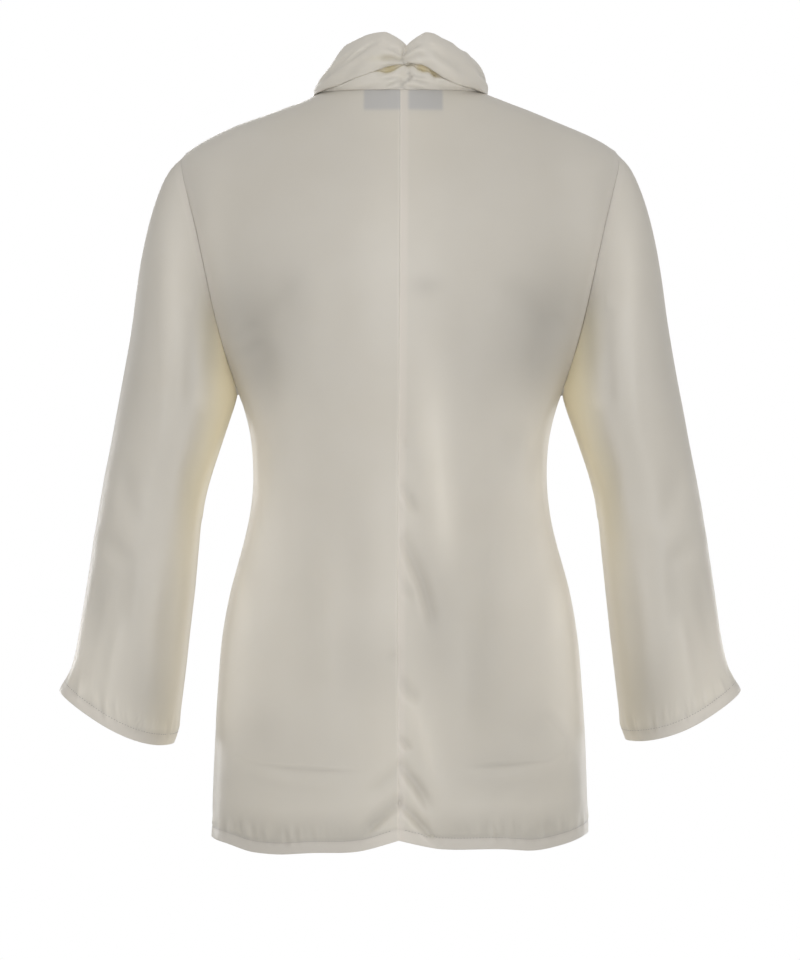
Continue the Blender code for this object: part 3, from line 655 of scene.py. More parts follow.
def clothMaterial(name, colours, grain, behind=None):
    # silk that light passes through a little. behind gives masks of what lies behind the cloth.
    material, tree, shader = newMaterial(name)
    mottle = node(tree, "Group", node_tree=mottleGroup).outputs
    colour = mixed(tree, mottle["Mask"], colours["shade"], colours["base"])
    if behind:
        colour = behind(tree, colour)
    # a painted warm glow where the cloth looks lit through
    glow = maths(tree, "MULTIPLY", attribute(tree, "glow"), finishes["glowShare"])
    colour = mixed(tree, glow, colour, finishes["glow"])
    # the colour is scaled by a painted highlight towards the outline, and by the painted light and shade
    # kept on the surface
    power, share, most = finishes["rim"]
    facing = node(tree, "LayerWeight", {"Blend": 0.5}).outputs["Facing"]
    turned = maths(tree, "MULTIPLY", maths(tree, "POWER", facing, power), share)
    turned = maths(tree, "MULTIPLY", maths(tree, "MINIMUM", turned, most), attribute(tree, "rim"))
    paintedShading = maths(tree, "ADD", turned, maths(tree, "ADD", attribute(tree, "sheen"), 1.0))
    scaled = node(tree, "VectorMath", {0: colour, "Scale": paintedShading}, operation="SCALE").outputs[0]
    low, high = colours["rough"]
    lustre = node(tree, "MapRange", {"Value": mottle["Fine"], "To Min": low, "To Max": high}).outputs[0]
    pebbled = node(tree, "Group", node_tree=grainGroup)
    fill(tree, pebbled, {"Pebble": grain[0], "Weave": grain[1]})
    normal = bump(tree, pebbled.outputs["Height"], *finishes["relief"])
    fill(tree, shader, {"Base Color": scaled, "Roughness": lustre, "Normal": normal})
    fill(tree, shader, finishes["sheen"])
    passing = node(tree, "BsdfTranslucent", {"Color": finishes["through"], "Normal": normal})
    both = {0: finishes["throughShare"], 1: shader.outputs[0], 2: passing.outputs[0]}
    fill(tree, tree.nodes["Material Output"], {"Surface": node(tree, "MixShader", both).outputs[0]})
    return material


showThrough = {
    # the centre back's allowance, from its soft edge to its crisp one at the neck, with how soft
    # each is, and how much further left each is low down
    "seamStrip": {"x": (-7.5 * mm, -0.2 * mm), "soft": (2.2 * mm, 0.5 * mm), "lower": (3.0 * mm, 2.6 * mm),
                  "z": (-0.01, -0.48), "share": 0.9},
    # the hems' and the seams' second layers: how wide, how soft at the edge, and how strong
    "hemAway": (10.5 * mm, 0.7 * mm, 0.95),
    "seamAway": (7.0 * mm, 1.5 * mm, 0.4),
    "label": {"x": (-38.5 * mm, 32.5 * mm), "z": (-23.6 * mm, -4 * mm)},
    "labelSoft": {"x": (1.8 * mm, 1.8 * mm), "z": (2.4 * mm, 1.0 * mm)},
}


def bandMask(tree, value, low, high, softLow, softHigh):
    rising = ramp(tree, value, low - softLow, low + softLow)
    falling = ramp(tree, value, high + softHigh, high - softHigh)
    return maths(tree, "MULTIPLY", rising, falling)


def edgeBands(tree, colour):
    # second layers behind hems, cuffs and seams
    bands = []
    for name in ("hemAway", "seamAway"):
        wide, soft, share = showThrough[name]
        band = ramp(tree, attribute(tree, name), wide + soft, wide - soft)
        bands.append(maths(tree, "MULTIPLY", band, share))
    return mixed(tree, maths(tree, "MAXIMUM", *bands), colour, finishes["double"])


def behindBack(tree, colour):
    # the label and the centre-back seam's allowance darken or lighten the cloth before them
    colour = edgeBands(tree, colour)
    axes = node(tree, "SeparateXYZ", {0: objectPlace(tree)}).outputs
    across, down = (bandMask(tree, axes[axis.upper()], *showThrough["label"][axis],
                             *showThrough["labelSoft"][axis]) for axis in "xz")
    colour = mixed(tree, maths(tree, "MULTIPLY", across, down), colour, finishes["labelShade"])
    strip = showThrough["seamStrip"]
    low = ramp(tree, axes["Z"], *strip["z"])
    places = [maths(tree, "MULTIPLY_ADD", low, -move, axes["X"]) for move in strip["lower"]]
    (left, right), (soft, crisp) = strip["x"], strip["soft"]
    mask = maths(tree, "MULTIPLY", ramp(tree, places[0], left - soft, left + soft),
                 ramp(tree, places[1], right + crisp, right - crisp))
    return mixed(tree, maths(tree, "MULTIPLY", mask, strip["share"]), colour, finishes["allowance"])


def plainMaterial(name, pattern, colours, depth, **settings):
    # one colour passes into another by a pattern that is also its relief
    material, tree, shader = newMaterial(name)
    pattern = pattern(tree, objectPlace(tree))
    fill(tree, shader, {"Base Color": mixed(tree, pattern, colours["shade"], colours["base"]),
                        "Normal": bump(tree, pattern, *depth), **settings})
    return material


def ribbed(tree, place):
    waves = []
    for axis, scale, distortion, detail in (("X", 620.0, 0.6, 1.0), ("Z", 380.0, 0.4, 2.0)):
        settings = {"Vector": place, "Scale": scale, "Distortion": distortion, "Detail": detail}
        wave = node(tree, "TexWave", settings, wave_type="BANDS", bands_direction=axis)
        waves.append(wave.outputs["Fac"])
    return maths(tree, "MULTIPLY", *waves)


def plied(tree, place):
    return noiseOf(tree, place, 2400.0, 1.0)


insides = clothMaterial("ivoryCrepe", finishes["crepe"], (1.0, 0.6))
materials = {}
for key, name, behind in (("back", "ivorySatinBack", behindBack), ("plain", "ivorySatin", edgeBands),
                          ("collar", "ivorySatinCollar", None)):
    materials[key] = [clothMaterial(name, finishes["satin"], (0.6, 1.0), behind), insides]
materials["label"] = [plainMaterial("labelWeave", ribbed, finishes["label"], (0.5, 0.1 * mm),
                                    **{"Roughness": 0.7, "Sheen Weight": 0.2})]
materials["thread"] = [plainMaterial("ivoryThread", plied, finishes["thread"], (0.4, 0.05 * mm),
                                     Roughness=0.45)]
print("materials made")

# The five panels start as the outer faces of their solids
pieces = {"back_left": backPanels, "back_right": backPanels, "front": frontPanel,
          "sleeve_left": sleeves, "sleeve_right": sleeves}
panels = list(pieces)
coarse = {panel: outerFace(panel) for panel in panels}
for bm in coarse.values():
    bm.verts.index_update()
for panel, partners in seamPartners(coarse).items():
    bm = coarse[panel]
    layer = bm.verts.layers.float.new("crease_vert")
    bm.verts.ensure_lookup_table()
    for index, others in partners.items():
        bm.verts[index][layer] = 1.0 if len(others) > 1 else 0.0
things, sheets = {}, {}
for panel in panels:
    things[panel], sheets[panel] = refined(coarse[panel], panel + "_cloth")
seams = seamPartners(sheets)
print("panels refined:", {panel: len(bm.faces) for panel, bm in sheets.items()})


def isSleeve(panel):
    return panel.startswith("sleeve")


def outwards(points, normals):
    # how far each point faces away from the garment's middle
    return np.sign(points[:, 0]) * normals[:, 0]


def spot(points, x, z, wide, high):
    # a soft round mask, seen from the back, in millimetres
    across, down = (points[:, 0] / mm - x) / wide, (points[:, 2] / mm - z) / high
    return np.exp(-(across**2) - down**2)


def panelFolds(panel, points, behind):
    # how far the folds of one panel move it, and the shading painted with them. The points are seen from
    # the back.
    flat = points[:, [0, 2]]
    if not isSleeve(panel):
        return foldRise(flat, pieces[panel]["folds"])
    found = foldRise(flat, sleeves["backFolds"]) * behind
    return found + foldRise(flat, sleeves["frontFolds"]) * (1 - behind)


# Painted light: the satin's colour is painted brighter where it turns away from the eye, and painted warm
# where light would come through it
lights = {
    "torso": 0.25,
    "front": 0.4,  # the front's share of what the backs have
    "hips": (0.85, (-0.24, -0.31), (-0.63, -0.56)),  # added over the hips, between these heights
    "sleeve": 0.4,
    "sleeveLow": (0.5, (-0.245, -0.275)),
    "sleeveInner": (0.2, 0.9),
    "sleeveLeast": 0.1,
    "glow": (0.75, (-0.155, -0.225), (-0.50, -0.28)),  # painted glow on the sleeves' inner sides, most below the armpits
    "glowInner": (0.3, 0.95),
}


def paintedRimSheen(panel, points, normals):
    # how much brighter the satin's colour is painted where it turns away from the eye
    heights = points[:, 2]
    if not isSleeve(panel):
        amount, top, foot = lights["hips"]
        hips = smoothStep(*top, heights) * smoothStep(*foot, heights)
        return (lights["torso"] + amount * hips) * (lights["front"] if panel == "front" else 1)
    amount, top = lights["sleeveLow"]
    inner = smoothStep(*lights["sleeveInner"], -outwards(points, normals))
    return (lights["sleeve"] + amount * smoothStep(*top, heights)) * inner + lights["sleeveLeast"]


def paintedInnerGlow(panel, points, normals):
    # the painted warm glow on the sleeves' inner sides
    if not isSleeve(panel):
        return np.zeros(len(points))
    amount, top, foot = lights["glow"]
    down = smoothStep(*top, points[:, 2]) * smoothStep(*foot, points[:, 2])
    return smoothStep(*lights["glowInner"], -outwards(points, normals)) * (1 - amount + amount * down)


def seamKind(panel, others, height):
    # what kind of edge a point lies in, by the pieces that it meets
    if not others:
        return "neck" if height > cloth["neckAbove"] else "hem"
    if any(isSleeve(other) for other in others):
        return "armholeBody"
    if isSleeve(panel):
        return "armholeSleeve"
    return "centre" if panel.startswith("back") and "front" not in others else "side"


def bell(away, width):
    return np.exp(-((away / width) ** 2))


def ripples(panel, points, hemAway):
    # small puckers along the stitched hem, strongest near the sides, and the line of its stitches,
    # with the painted light and shade that go with them
    sleeve = isSleeve(panel)
    axis = np.sign(points[:, 0]) * (hems["cuffAxis"] if sleeve else 0)
    around = np.arctan2(points[:, 1], points[:, 0] - axis) * hems["puckersRound"][sleeve]
    up, high = hems["puckersAt"]
    reach = bell(hemAway - up, high) * smoothStep(*hems["puckersFrom"], hemAway)
    paintedShading = np.zeros(len(points))
    if not sleeve:
        aside = np.abs(points[:, 0])
        reach = reach * (hems["pulled"] + (1 - hems["pulled"]) * smoothStep(*hems["pulledWithin"], aside))
        dark, above, wide = hems["drawnShade"]
        (less, under), (weaker, *ends) = hems["drawnBelow"], hems["drawnTo"]
        band = 1 - less * smoothStep(above, above - under, hemAway)
        paintedShading = dark * bell(np.clip(hemAway - above, 0, None), wide) * band
        paintedShading = paintedShading * smoothStep(*hems["drawnFrom"], aside) * (1 - weaker * smoothStep(*ends, aside))
    rise = np.zeros(len(points))
    for i in np.flatnonzero(reach > hems["puckersLeast"]):
        for size, height in hems["puckers"]:
            long = size * hems["puckersLong"] * mm
            place = ((around[i] + hems["slant"] * hemAway[i]) / size, hemAway[i] / long, size)
            rise[i] += noise.noise(Vector(place)) * height * mm * reach[i]
    depth, width = hems["groove"]
    line = bell(hemAway - hems["stitchUp"], width)
    byRise, *limits = hems["puckerShading"]
    return rise - depth * line, paintedShading + np.clip(rise / mm * byRise, *limits) - hems["grooveTone"] * line


def sleeveShape(points, normals, hemAway):
    # the cuff's corners, and the sleeve's own seam down its inner side, below the armhole
    outer = outwards(points, normals)
    out, high, *facing = hems["flare"]
    rise = out * bell(hemAway, high) * smoothStep(*facing, outer)
    out, high, *facing = hems["tuck"]
    rise -= out * bell(hemAway, high) * smoothStep(*facing, -outer)
    deep, narrow, *facing = cloth["underarm"]
    return rise - deep * bell(normals[:, 1], narrow) * smoothStep(*facing, -outer)


def newLayers(bm, *names):
    # each makes the references to a mesh's points and layers out of date, so all are made first
    for name in names:
        bm.verts.layers.float.new(name)
    bm.verts.ensure_lookup_table()


def keepValues(bm, **columns):
    # keeps values for each point, which the materials read
    for name, column in columns.items():
        layer = bm.verts.layers.float[name]
        for vert, value in zip(bm.verts, column):
            vert[layer] = value


def shapePanel(panel):
    bm, settings = sheets[panel], pieces[panel]
    newLayers(bm, "hemAway", "seamAway", "glow", "sheen", "rim")
    bm.normal_update()
    points, normals = arrayOf(bm), arrayOf(bm, "normal")
    kinds = {}
    for i, others in seams[panel].items():
        kinds.setdefault(seamKind(panel, others, points[i, 2]), []).append(bm.verts[i])
    far = np.full(len(points), cloth["far"])
    away = {kind: distances(bm, verts) for kind, verts in kinds.items()}
    hemAway, centreAway = away.get("hem", far), away.get("centre", far)
    sides = np.minimum.reduce([away.get(kind, far) for kind in ("side", "armholeBody", "armholeSleeve")])
    # a sleeve's folds are given for the left one, and those of its back and its front apart
    seen, behind = points.copy(), 1
    if isSleeve(panel):
        seen[:, 0] = np.abs(seen[:, 0])
        behind = smoothStep(*cloth["sleeveBack"], normals[:, 1])
    shut, free = cloth["foldsShut"]
    folded, paintedShading = panelFolds(panel, seen, behind) * smoothStep(0, free, sides + shut)
    puckered, paintedHemShading = ripples(panel, points, hemAway)
    rise = folded + unevenness(points, 3.0) + puckered
    # painted shading: from the folds, the hem, and the painted paler line along the centre seam
    paler, width = cloth["centreHighlight"]
    paintedShading = paintedShading + paintedHemShading + paler * bell(centreAway, width)
    flatter, armpit, shoulder = cloth["armholeEnds"]
    ends = smoothStep(*armpit, points[:, 2]) + smoothStep(*shoulder, points[:, 2])
    for kind, (height, width) in cloth["seamRise"].items():
        kept = 1 - flatter * ends if kind.startswith("armhole") else 1
        rise += height * kept * bell(away.get(kind, far), width)
    if isSleeve(panel):
        rise += sleeveShape(points, normals, hemAway)
    # patches of painted highlight and painted shade, seen from the back
    patches = sum(amount * spot(seen, *place) for *place, amount in settings["sheen"])
    for vert, up, out in zip(bm.verts, rise, normals):
        vert.co += Vector(out * up)
    rim = np.broadcast_to(paintedRimSheen(panel, points, normals), len(points))
    keepValues(bm, hemAway=hemAway, seamAway=sides, glow=paintedInnerGlow(panel, points, normals), rim=rim,
               sheen=patches * behind + np.clip(paintedShading, *cloth["toneLimits"]))
    bm.normal_update()
    edge = sorted(kinds.get("hem", []), key=lambda vert: aroundHem(vert.co))
    hemLines[panel] = [(vert.co.copy(), intoCloth(vert)) for vert in edge]
    surfaces[panel] = BVHTree.FromBMesh(bm)
    # the edges turn under: hems by their depth, seams by their allowance, and at the centre back
    # both allowances lie towards the wearer's right, as a French seam does
    turns = {}
    for kind, verts in kinds.items():
        turn = {"hem": hems["turn"], "neck": cloth["neckTurn"]}.get(kind, settings["seamTurn"])
        under = panel == "back_left" and kind == "centre"
        turns.update({vert: (-turn, cloth["overlap"]) if under else (turn, 0) for vert in verts})
    return turns


def aroundHem(place):
    # where a point of a hem or cuff lies round its opening
    axis = math.copysign(hems["cuffAxis"], place.x) if place.z > hems["cuffAbove"] else 0
    return math.atan2(place.y, place.x - axis)


hemLines, surfaces = {}, {}
meetAtSeams(sheets)
for bm in sheets.values():
    points = arrayOf(bm)
    moves = sum(np.outer(np.exp(-(((points / mm - place) / reach) ** 2).sum(axis=1)), move)
                for place, reach, move in reshapes)
    for vert, move in zip(bm.verts, moves * mm):
        vert.co += Vector(move)
neckRim = [sheets[panel].verts[i].co.copy() for panel in panels[:3]
           for i, others in seams[panel].items()
           if not others and sheets[panel].verts[i].co.z > cloth["neckAbove"]]
turnings = {panel: shapePanel(panel) for panel in panels}
for panel in panels:
    over = [tree for other, tree in surfaces.items() if other == panel or panel[:4] == other[:4] == "back"]
    turnUnder(sheets[panel], turnings[panel], over)
    finishCloth(things[panel], sheets[panel], materials["back" if panel.startswith("back") else "plain"])
print("panels folded and turned under")


def addStitch(bm, place, along, out):
    # one small thread stitch, half sunk into the cloth
    length, thick = hems["stitch"]
    along = (along - out * along.dot(out)).normalized()
    turned = Matrix((along, out, along.cross(out))).transposed().to_4x4()
    sized = Matrix.Diagonal((length / 2, thick / 2, thick / 2, 1))
    matrix = Matrix.Translation(place - out * hems["sunk"]) @ turned @ sized
    bmesh.ops.create_icosphere(bm, subdivisions=1, radius=1, matrix=matrix)


def threadPiece(bm, name):
    thing = newThing(name)
    bm.to_mesh(thing.data)
    bm.free()
    thing.data.shade_smooth()
    thing.data.materials.append(materials["thread"][0])
    return thing


def hemStitches(panel):
    # a row of stitches along a hem, a little below the top of its turning
    line = hemLines[panel]
    if isSleeve(panel):
        line = line + line[:1]
    else:  # an open run starts where the gap round the hem is widest
        gaps = [(a[0] - b[0]).length for a, b in zip(line, line[1:] + line[:1])]
        cut = gaps.index(max(gaps)) + 1
        line = line[cut:] + line[:cut]
    runs = np.cumsum([0] + [(a[0] - b[0]).length for a, b in zip(line, line[1:])])
    pitch = hems["pitch"]
    bm = bmesh.new()
    for k in range(1, int(runs[-1] / pitch)):
        i = int(np.searchsorted(runs, k * pitch)) - 1
        share = (k * pitch - runs[i]) / (runs[i + 1] - runs[i])
        edge, into = (line[i][j].lerp(line[i + 1][j], share) for j in (0, 1))
        place, out = surfaces[panel].find_nearest(edge + into * hems["stitchUp"])[:2]
        addStitch(bm, place, line[i + 1][0] - line[i][0], out)
    return threadPiece(bm, panel + "_stitches")


stitches = {panel: hemStitches(panel) for panel in panels}
print("hems stitched")

# The label is a short woven tape with its ends folded under, sewn to the back at its two ends
label = {
    "columns": 96,
    "rows": 24,
    "marks": 14,  # columns of the CAD label
    "inside": 1.7 * mm,  # how far its face lies in from the back's outer face
    "thick": 0.35 * mm,
    "sag": 0.5 * mm,
    "uneven": (0.4, 7),
    "folded": (0.89, 0.91),  # its ends are double beyond this share of its half width
    "sewn": 0.955,
    "stitchRows": 7,
    "flat": (0.084, 0.021),
}


def faceBack(bm):
    # turns a sheet so that its rearmost face points to the back
    bm.normal_update()
    if max(bm.faces, key=lambda face: face.calc_center_median().y).normal.y < 0:
        bmesh.ops.reverse_faces(bm, faces=bm.faces)
        bm.normal_update()


def labelPoint(u, v, xs, tops, feet):
    # a point of the label's face and the way out through the cloth, for u in -1 to 1 and v in 0 to 1
    x = xs[0] + (u + 1) / 2 * (xs[-1] - xs[0])
    foot, top = np.interp(x, xs, feet), np.interp(x, xs, tops)
    start = Vector((x, 0, foot + v * (top - foot)))
    hits = [surfaces[back].ray_cast(start, Vector((0, 1, 0))) for back in panels[:2]]
    place, out = next(hit for hit in hits if hit[0])[:2]
    out = out if out.y > 0 else -out
    amount, speed = label["uneven"]
    slack = label["sag"] * (1 - u * u) * math.sin(math.pi * v) * (1 + amount * math.sin(speed * u))
    double = label["thick"] * float(smoothStep(*label["folded"], abs(u)))
    return place - out * (label["inside"] + slack + double), out


def buildLabel():
    points = np.array([vert.co[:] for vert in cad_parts["label"].data.vertices])
    low, high = points[:, 0].min(), points[:, 0].max()
    marks = label["marks"]
    column = np.round((points[:, 0] - low) / (high - low) * marks).astype(int)
    tops, feet = ([f(points[column == c, 2]) for c in range(marks + 1)] for f in (np.max, np.min))
    edges = (np.linspace(low, high, marks + 1), tops, feet)
    bm = bmesh.new()
    bmesh.ops.create_grid(bm, x_segments=label["columns"], y_segments=label["rows"], size=1)
    for vert in bm.verts:
        vert.co = labelPoint(vert.co.x, (vert.co.y + 1) / 2, *edges)[0]
    faceBack(bm)
    thing = newThing("label_tape")
    finishCloth(thing, bm, materials["label"], label["thick"])
    thread = bmesh.new()
    for u in (-label["sewn"], label["sewn"]):
        for k in range(label["stitchRows"]):
            place, out = labelPoint(u, (k + 0.5) / label["stitchRows"], *edges)
            addStitch(thread, place - out * label["thick"], Vector((0, 0, 1)), -out)
    return thing, threadPiece(thread, "label_stitches")


things["label"], stitches["label"] = buildLabel()
print("label made")

# The collar is one doubled strip: up the band, over its crest, into the pleat, round the roll and
# down again inside
collar = {
    "stations": 320,  # sections round the neck seam
    "crowding": 0.55,  # how much closer they stand at the centre back
    "lean": 0.5,  # how far the way up turns from upright to square to the neck seam
    # rows of cloth from each point of a section to the next
    "stretches": (6, 7, 9, 7, 9, 10, 12, 12, 5, 9, 8, 8),
    # sections at these degrees from the centre back, on either side: the band, its crest, the pleat,
    # the roll's underside, its edge, its belly, its shoulder and its top, each as (out from the neck
    # seam, height above it) in millimetres
    "sections": [
        (0, (1.2, 5), (0.6, 10.5), (-2.8, 14.5), (-2.0, 18), (0.4, 21),
         (2.4, 27), (1.2, 33), (-6.0, 39.0)),
        (5, (2.2, 6), (1.8, 12.4), (-3.2, 16.6), (-1.5, 20.2), (2.2, 22.4),
         (5.0, 29), (4.2, 37), (-5.5, 43.6)),
        (12, (3.2, 6.5), (2.4, 13.4), (-3.6, 16.4), (-1.5, 19.8), (3.6, 20.8),
         (7.4, 29), (6.0, 39), (-5.0, 48.4)),
        (20, (3.2, 6), (2.2, 12.0), (-3.6, 14.6), (-1.5, 18.0), (4.6, 18.0),
         (8.2, 27), (6.0, 41), (-5.5, 51.6)),
        (28, (2.8, 5), (1.4, 10.0), (-5.8, 12.8), (-0.5, 15.6), (5.6, 14.6),
         (8.6, 24), (5.0, 39.4), (-6.5, 51.0)),
        (36, (2.2, 4), (0.6, 7.4), (-5.6, 10.4), (-0.5, 13.0), (5.8, 11.0),
         (8.4, 21), (4.4, 37.4), (-7.2, 49.3)),
        (50, (1.4, 2.6), (-0.2, 5.0), (-5.4, 7.6), (-0.5, 8.8), (5.2, 4.6),
         (7.2, 14), (3.0, 30.7), (-8.0, 44.2)),
        (62, (1.0, 2.0), (-0.8, 4.0), (-5.2, 6.4), (-0.5, 6.8), (4.6, 1.4),
         (6.2, 9.6), (1.0, 26.3), (-9.8, 40.4)),
        (70, (0.6, 1.5), (-1.2, 3.2), (-5.0, 5.4), (-0.5, 5.4), (4.2, -0.6),
         (5.4, 7.0), (-0.4, 21.5), (-11.0, 34.0)),
        (90, (0.4, 1.3), (-1.4, 2.8), (-4.8, 4.8), (-0.5, 4.6), (3.6, -2.0),
         (3.4, 5.0), (-2.4, 17), (-12.0, 28.5)),
        (110, (0.4, 1.3), (-1.4, 2.8), (-4.8, 5.0), (-0.5, 4.8), (4.4, -2.2),
         (5.2, 6), (0.2, 19), (-10.0, 30)),
        (135, (0.6, 1.5), (-1.2, 3.2), (-5.0, 5.6), (0.0, 5.2), (5.0, -2.4),
         (7.6, 7), (3.2, 22), (-7.0, 35)),
        (180, (0.8, 1.7), (-1.0, 3.6), (-5.0, 6.2), (0.4, 5.6), (5.0, -3.6),
         (9.2, 7), (6.2, 24), (-4.0, 38)),
    ],
    # how much lower the right lobe lies than the left, at its top and at its lower edge
    "drops": [
        (0, 0, 0), (8, 0.2, 0), (13, 0.4, -1.6), (18, 0.3, -1.2), (22, 0.5, 0.2), (26, 0.9, 1.6),
        (30, 2.0, 2.4), (34, 3.2, 2.6), (39, 3.7, 2.2), (44, 3.8, 1.5), (48, 5.0, 0.9), (56, 6.3, 0.5),
        (64, 4.8, 0.1), (75, 1.4, 0), (90, 0, 0),
    ],
    # how much of the lower edge's drop and of the top's each point of a section takes
    "dropShares": [(0.2, 0), (0.6, 0), (0.8, 0), (1, 0), (1, 0), (0.5, 0.5), (0, 0.8), (0, 1)],
    # where the crest, the pleat and the roll's underside go, from the roll's edge, where it is shut
    "shutTo": [(-1.2, -1.6), (-3.2, -0.8), (-1.8, -0.1)],
    "bandShut": (0.5, (1.0, 0)),  # and where the band goes: by a share of the crest, and further out
    "foot": (0.3, -0.7),  # the strip starts here, below the band
    # inside, the cloth turns in from the top, goes down through two points, each so far out and at so
    # much of the top's height, and ends
    "turnIn": (-4.4, -4.5),
    "insideAt": -10.4,
    "insideHeights": ((0, 0.6), (1.0, 0.26)),
    "end": (-2.4, -3.0),
    "evened": 12,  # rounds that even out the small steps in the neck seam where panels meet
    # how far each height leans aside near the centre back, within how many degrees, and how far the
    # rest leans, all of it from what height up
    "sway": [(0, 0), (4, -2.0), (10, -3.0), (16, -6.5), (22, -7.2), (28, -3.4), (34, -3.8), (40, -6.0)],
    "swayWithin": 16,
    "swayBeyond": (4.8, 22),
    # where the roll stands off the band and leaves a pocket: (degrees, spread, how far it is open)
    "pockets": [(13.8, 7.2, 1.0), (-14.4, 7.6, 1.0), (-26.0, 4.4, 0.75)],
    "shutWithin": (48, 66),  # the roll covers the band beyond these degrees
    "rows": {"band": (0, 22), "roll": (27, 76)},
    "rowsSoft": (2, 2),
    "foldsFacing": (-20 * mm, 10 * mm),  # the next folds are only at the back of the neck
    "pocketRows": (14, 33),
    # folds seen from the back, as (zone, path, width, depth, lip, start, finish)
    "folds": [
        # the gathered seam
        ("roll", [(-5.3, 31), (-2.2, 24.6), (-3.5, 18.4), (-2.7, 12)], 1.1, -1.2, 0.0, 0.3, 1.0),
        ("band", [(-8, 10.4), (-9.8, 6.8), (-7.1, 3.7), (-0.9, -0.3), (-3.1, -2.9), (-5.3, -7.5)],
         1.2, -1.6, 0.0, 1.0, 1.0),
        # creases that run out from it
        ("roll", [(-2.5, 19.2), (8.9, 22.8), (25, 22.6)], 3.2, -2.3, 0.7, 0.9, 0),
        ("roll", [(-3, 25), (6, 30), (17, 33.5)], 2.4, -1.4, 0.6, 0.9, 0),
        ("roll", [(-3.4, 15.5), (8, 16.5), (24, 13.5)], 1.9, -1.0, 0.5, 0.9, 0),
        ("roll", [(-4, 27), (-14, 33), (-24, 35.5)], 2.2, -1.5, 0.7, 0.9, 0),
        ("roll", [(-3, 21), (-14, 25), (-31, 24)], 2.8, -1.4, 0.7, 0.9, 0),
        ("band", [(-1.2, 2.7), (4.4, 1.5), (11.5, -2.0), (15, -5.6)], 1.5, -1.1, 0.6, 1.0, 0),
        ("band", [(-2, -2.5), (8, -4.5), (20, -6)], 1.2, -0.8, 0.4, 1.0, 0),
        ("band", [(-1.5, 5), (8, 5.5), (20, 3.5)], 1.5, -0.8, 0.5, 1.0, 0),
        ("band", [(-8, 3.5), (-16, 2.5), (-28, -1)], 1.5, -1.1, 0.6, 1.0, 0),
        ("band", [(-5, -2.5), (-15, -3.5), (-30, -5.5)], 1.2, -0.8, 0.4, 1.0, 0),
        ("band", [(-9.5, 7), (-18, 6.4), (-27, 5)], 1.3, -0.9, 0.5, 1.0, 0),
        ("band", [(18, -1), (34, -4), (52, -8)], 2.2, -0.8, 0.4),
        ("band", [(-28, 0), (-44, -5), (-62, -9)], 2.0, -0.7, 0.4),
        # the right lobe's upper fold, and the pale edge along the left one
        ("roll", [(-6.4, 17.4), (-10.6, 16.2)], 2.1, -3.2, 0.0, 1.0, 1.0),
        ("roll", [(-10.2, 17.2), (-19.3, 16.4), (-29, 11), (-38, 5.5), (-55, -1)], 1.4, -1.5, 0.7, 1.0, 0),
        ("roll", [(16.8, 38.8), (25.7, 34.8), (35.5, 28.5), (47, 21), (59.4, 12.1)],
         1.6, -1.1, 0.8, 0.2, 0.3),
        # soft folds on the two lobes
        ("roll", [(30, 24), (46, 10), (60, -3)], 5.0, -1.2, 0.7),
        ("roll", [(-30, 30), (-50, 17), (-64, 4)], 4.5, -1.3, 0.7),
        ("roll", [(-24, 37), (-34, 33), (-46, 24)], 3.2, 1.0, -0.5),
    ],
    # folds round the sides and the front, with paths as (degrees from the centre back, row)
    "wraps": [
        ([(36, 60), (60, 52), (88, 47)], 3.6, -1.5, 0.8),
        ([(-48, 62), (-75, 54), (-108, 49)], 3.6, -1.5, 0.8),
        ([(74, 40), (112, 48), (160, 58)], 4.4, -2.2, 1.0),
        ([(-84, 38), (-122, 46), (-166, 56)], 4.4, -2.2, 1.0),
        ([(118, 66), (146, 62), (178, 64)], 3.6, -1.5, 0.7, 0.0, 0.4),
        ([(-110, 66), (-140, 61), (-178, 62)], 3.6, -1.5, 0.7, 0.0, 0.4),
        ([(128, 36), (154, 42), (176, 44)], 3.0, -1.3, 0.6, 0.2, 0),
        ([(20, 88), (70, 84), (120, 90)], 4.0, -1.4, 0.7),
        ([(-30, 90), (-80, 84), (-130, 88)], 4.0, -1.4, 0.7),
    ],
    "unevenness": 0.5,  # the share of the cloth's own
    "standsOff": 0.5 * mm,  # how far its cloth lies outside its sections
    "lighter": 0.05,  # its tone against the panels'
    "creaseShading": (1.5, -0.2, 0.09),  # how strongly the shading painted with its folds shows, and its limits
    "pocketLight": (-0.16, 1.25),  # the painted shade and the painted warm glow of its pockets
    "pocketSoft": (3, 2),
    "outerRows": 60,  # the spots are on these rows alone, and where the collar faces the back
    "spotsFacing": (20 * mm, 60 * mm),
    # spots of painted shade and painted warm glow in its creases, as (x, z, wide, high, tone, warmth)
    "spots": [(12, 22.6, 13, 2.6, -0.10, 0.42), (-8.2, 16.4, 3.0, 1.7, -0.22, 0.5),
              (-2, 8.5, 3, 4, -0.06, 0.1)],
    "rim": 0.4,
    "perDegree": 1.5,  # millimetres for each degree and row of the folds round it
    "perRow": 1.5,
    "weld": 0.001 * mm,
    "flat": (0.60, 0.135),
    "area": 0.060,
}


def smoothThrough(places, values, place):
    # a smooth curve through the values that never overshoots them
    if place <= places[0] or place >= places[-1]:
        return values[0] if place <= places[0] else values[-1]
    slopes = [(b - a) / (q - p) for a, b, p, q in zip(values, values[1:], places, places[1:])]
    tangents = [slopes[0]]
    for before, after in zip(slopes, slopes[1:]):
        tangents.append(0 if before * after <= 0 else 2 * before * after / (before + after))
    tangents.append(slopes[-1])
    i = max(k for k in range(len(slopes)) if places[k] <= place)
    step = places[i + 1] - places[i]
    t = (place - places[i]) / step
    low = values[i] * (1 + 2 * t) + step * tangents[i] * t
    high = values[i + 1] * (3 - 2 * t) - step * tangents[i + 1] * (1 - t)
    return low * (1 - t) ** 2 + high * t * t


def tableAt(rows, place):
    places = [row[0] for row in rows]
    read = []
    for column in list(zip(*rows))[1:]:
        if isinstance(column[0], tuple):
            read.append(np.array([smoothThrough(places, part, place) for part in zip(*column)]))
        else:
            read.append(smoothThrough(places, column, place))
    return read


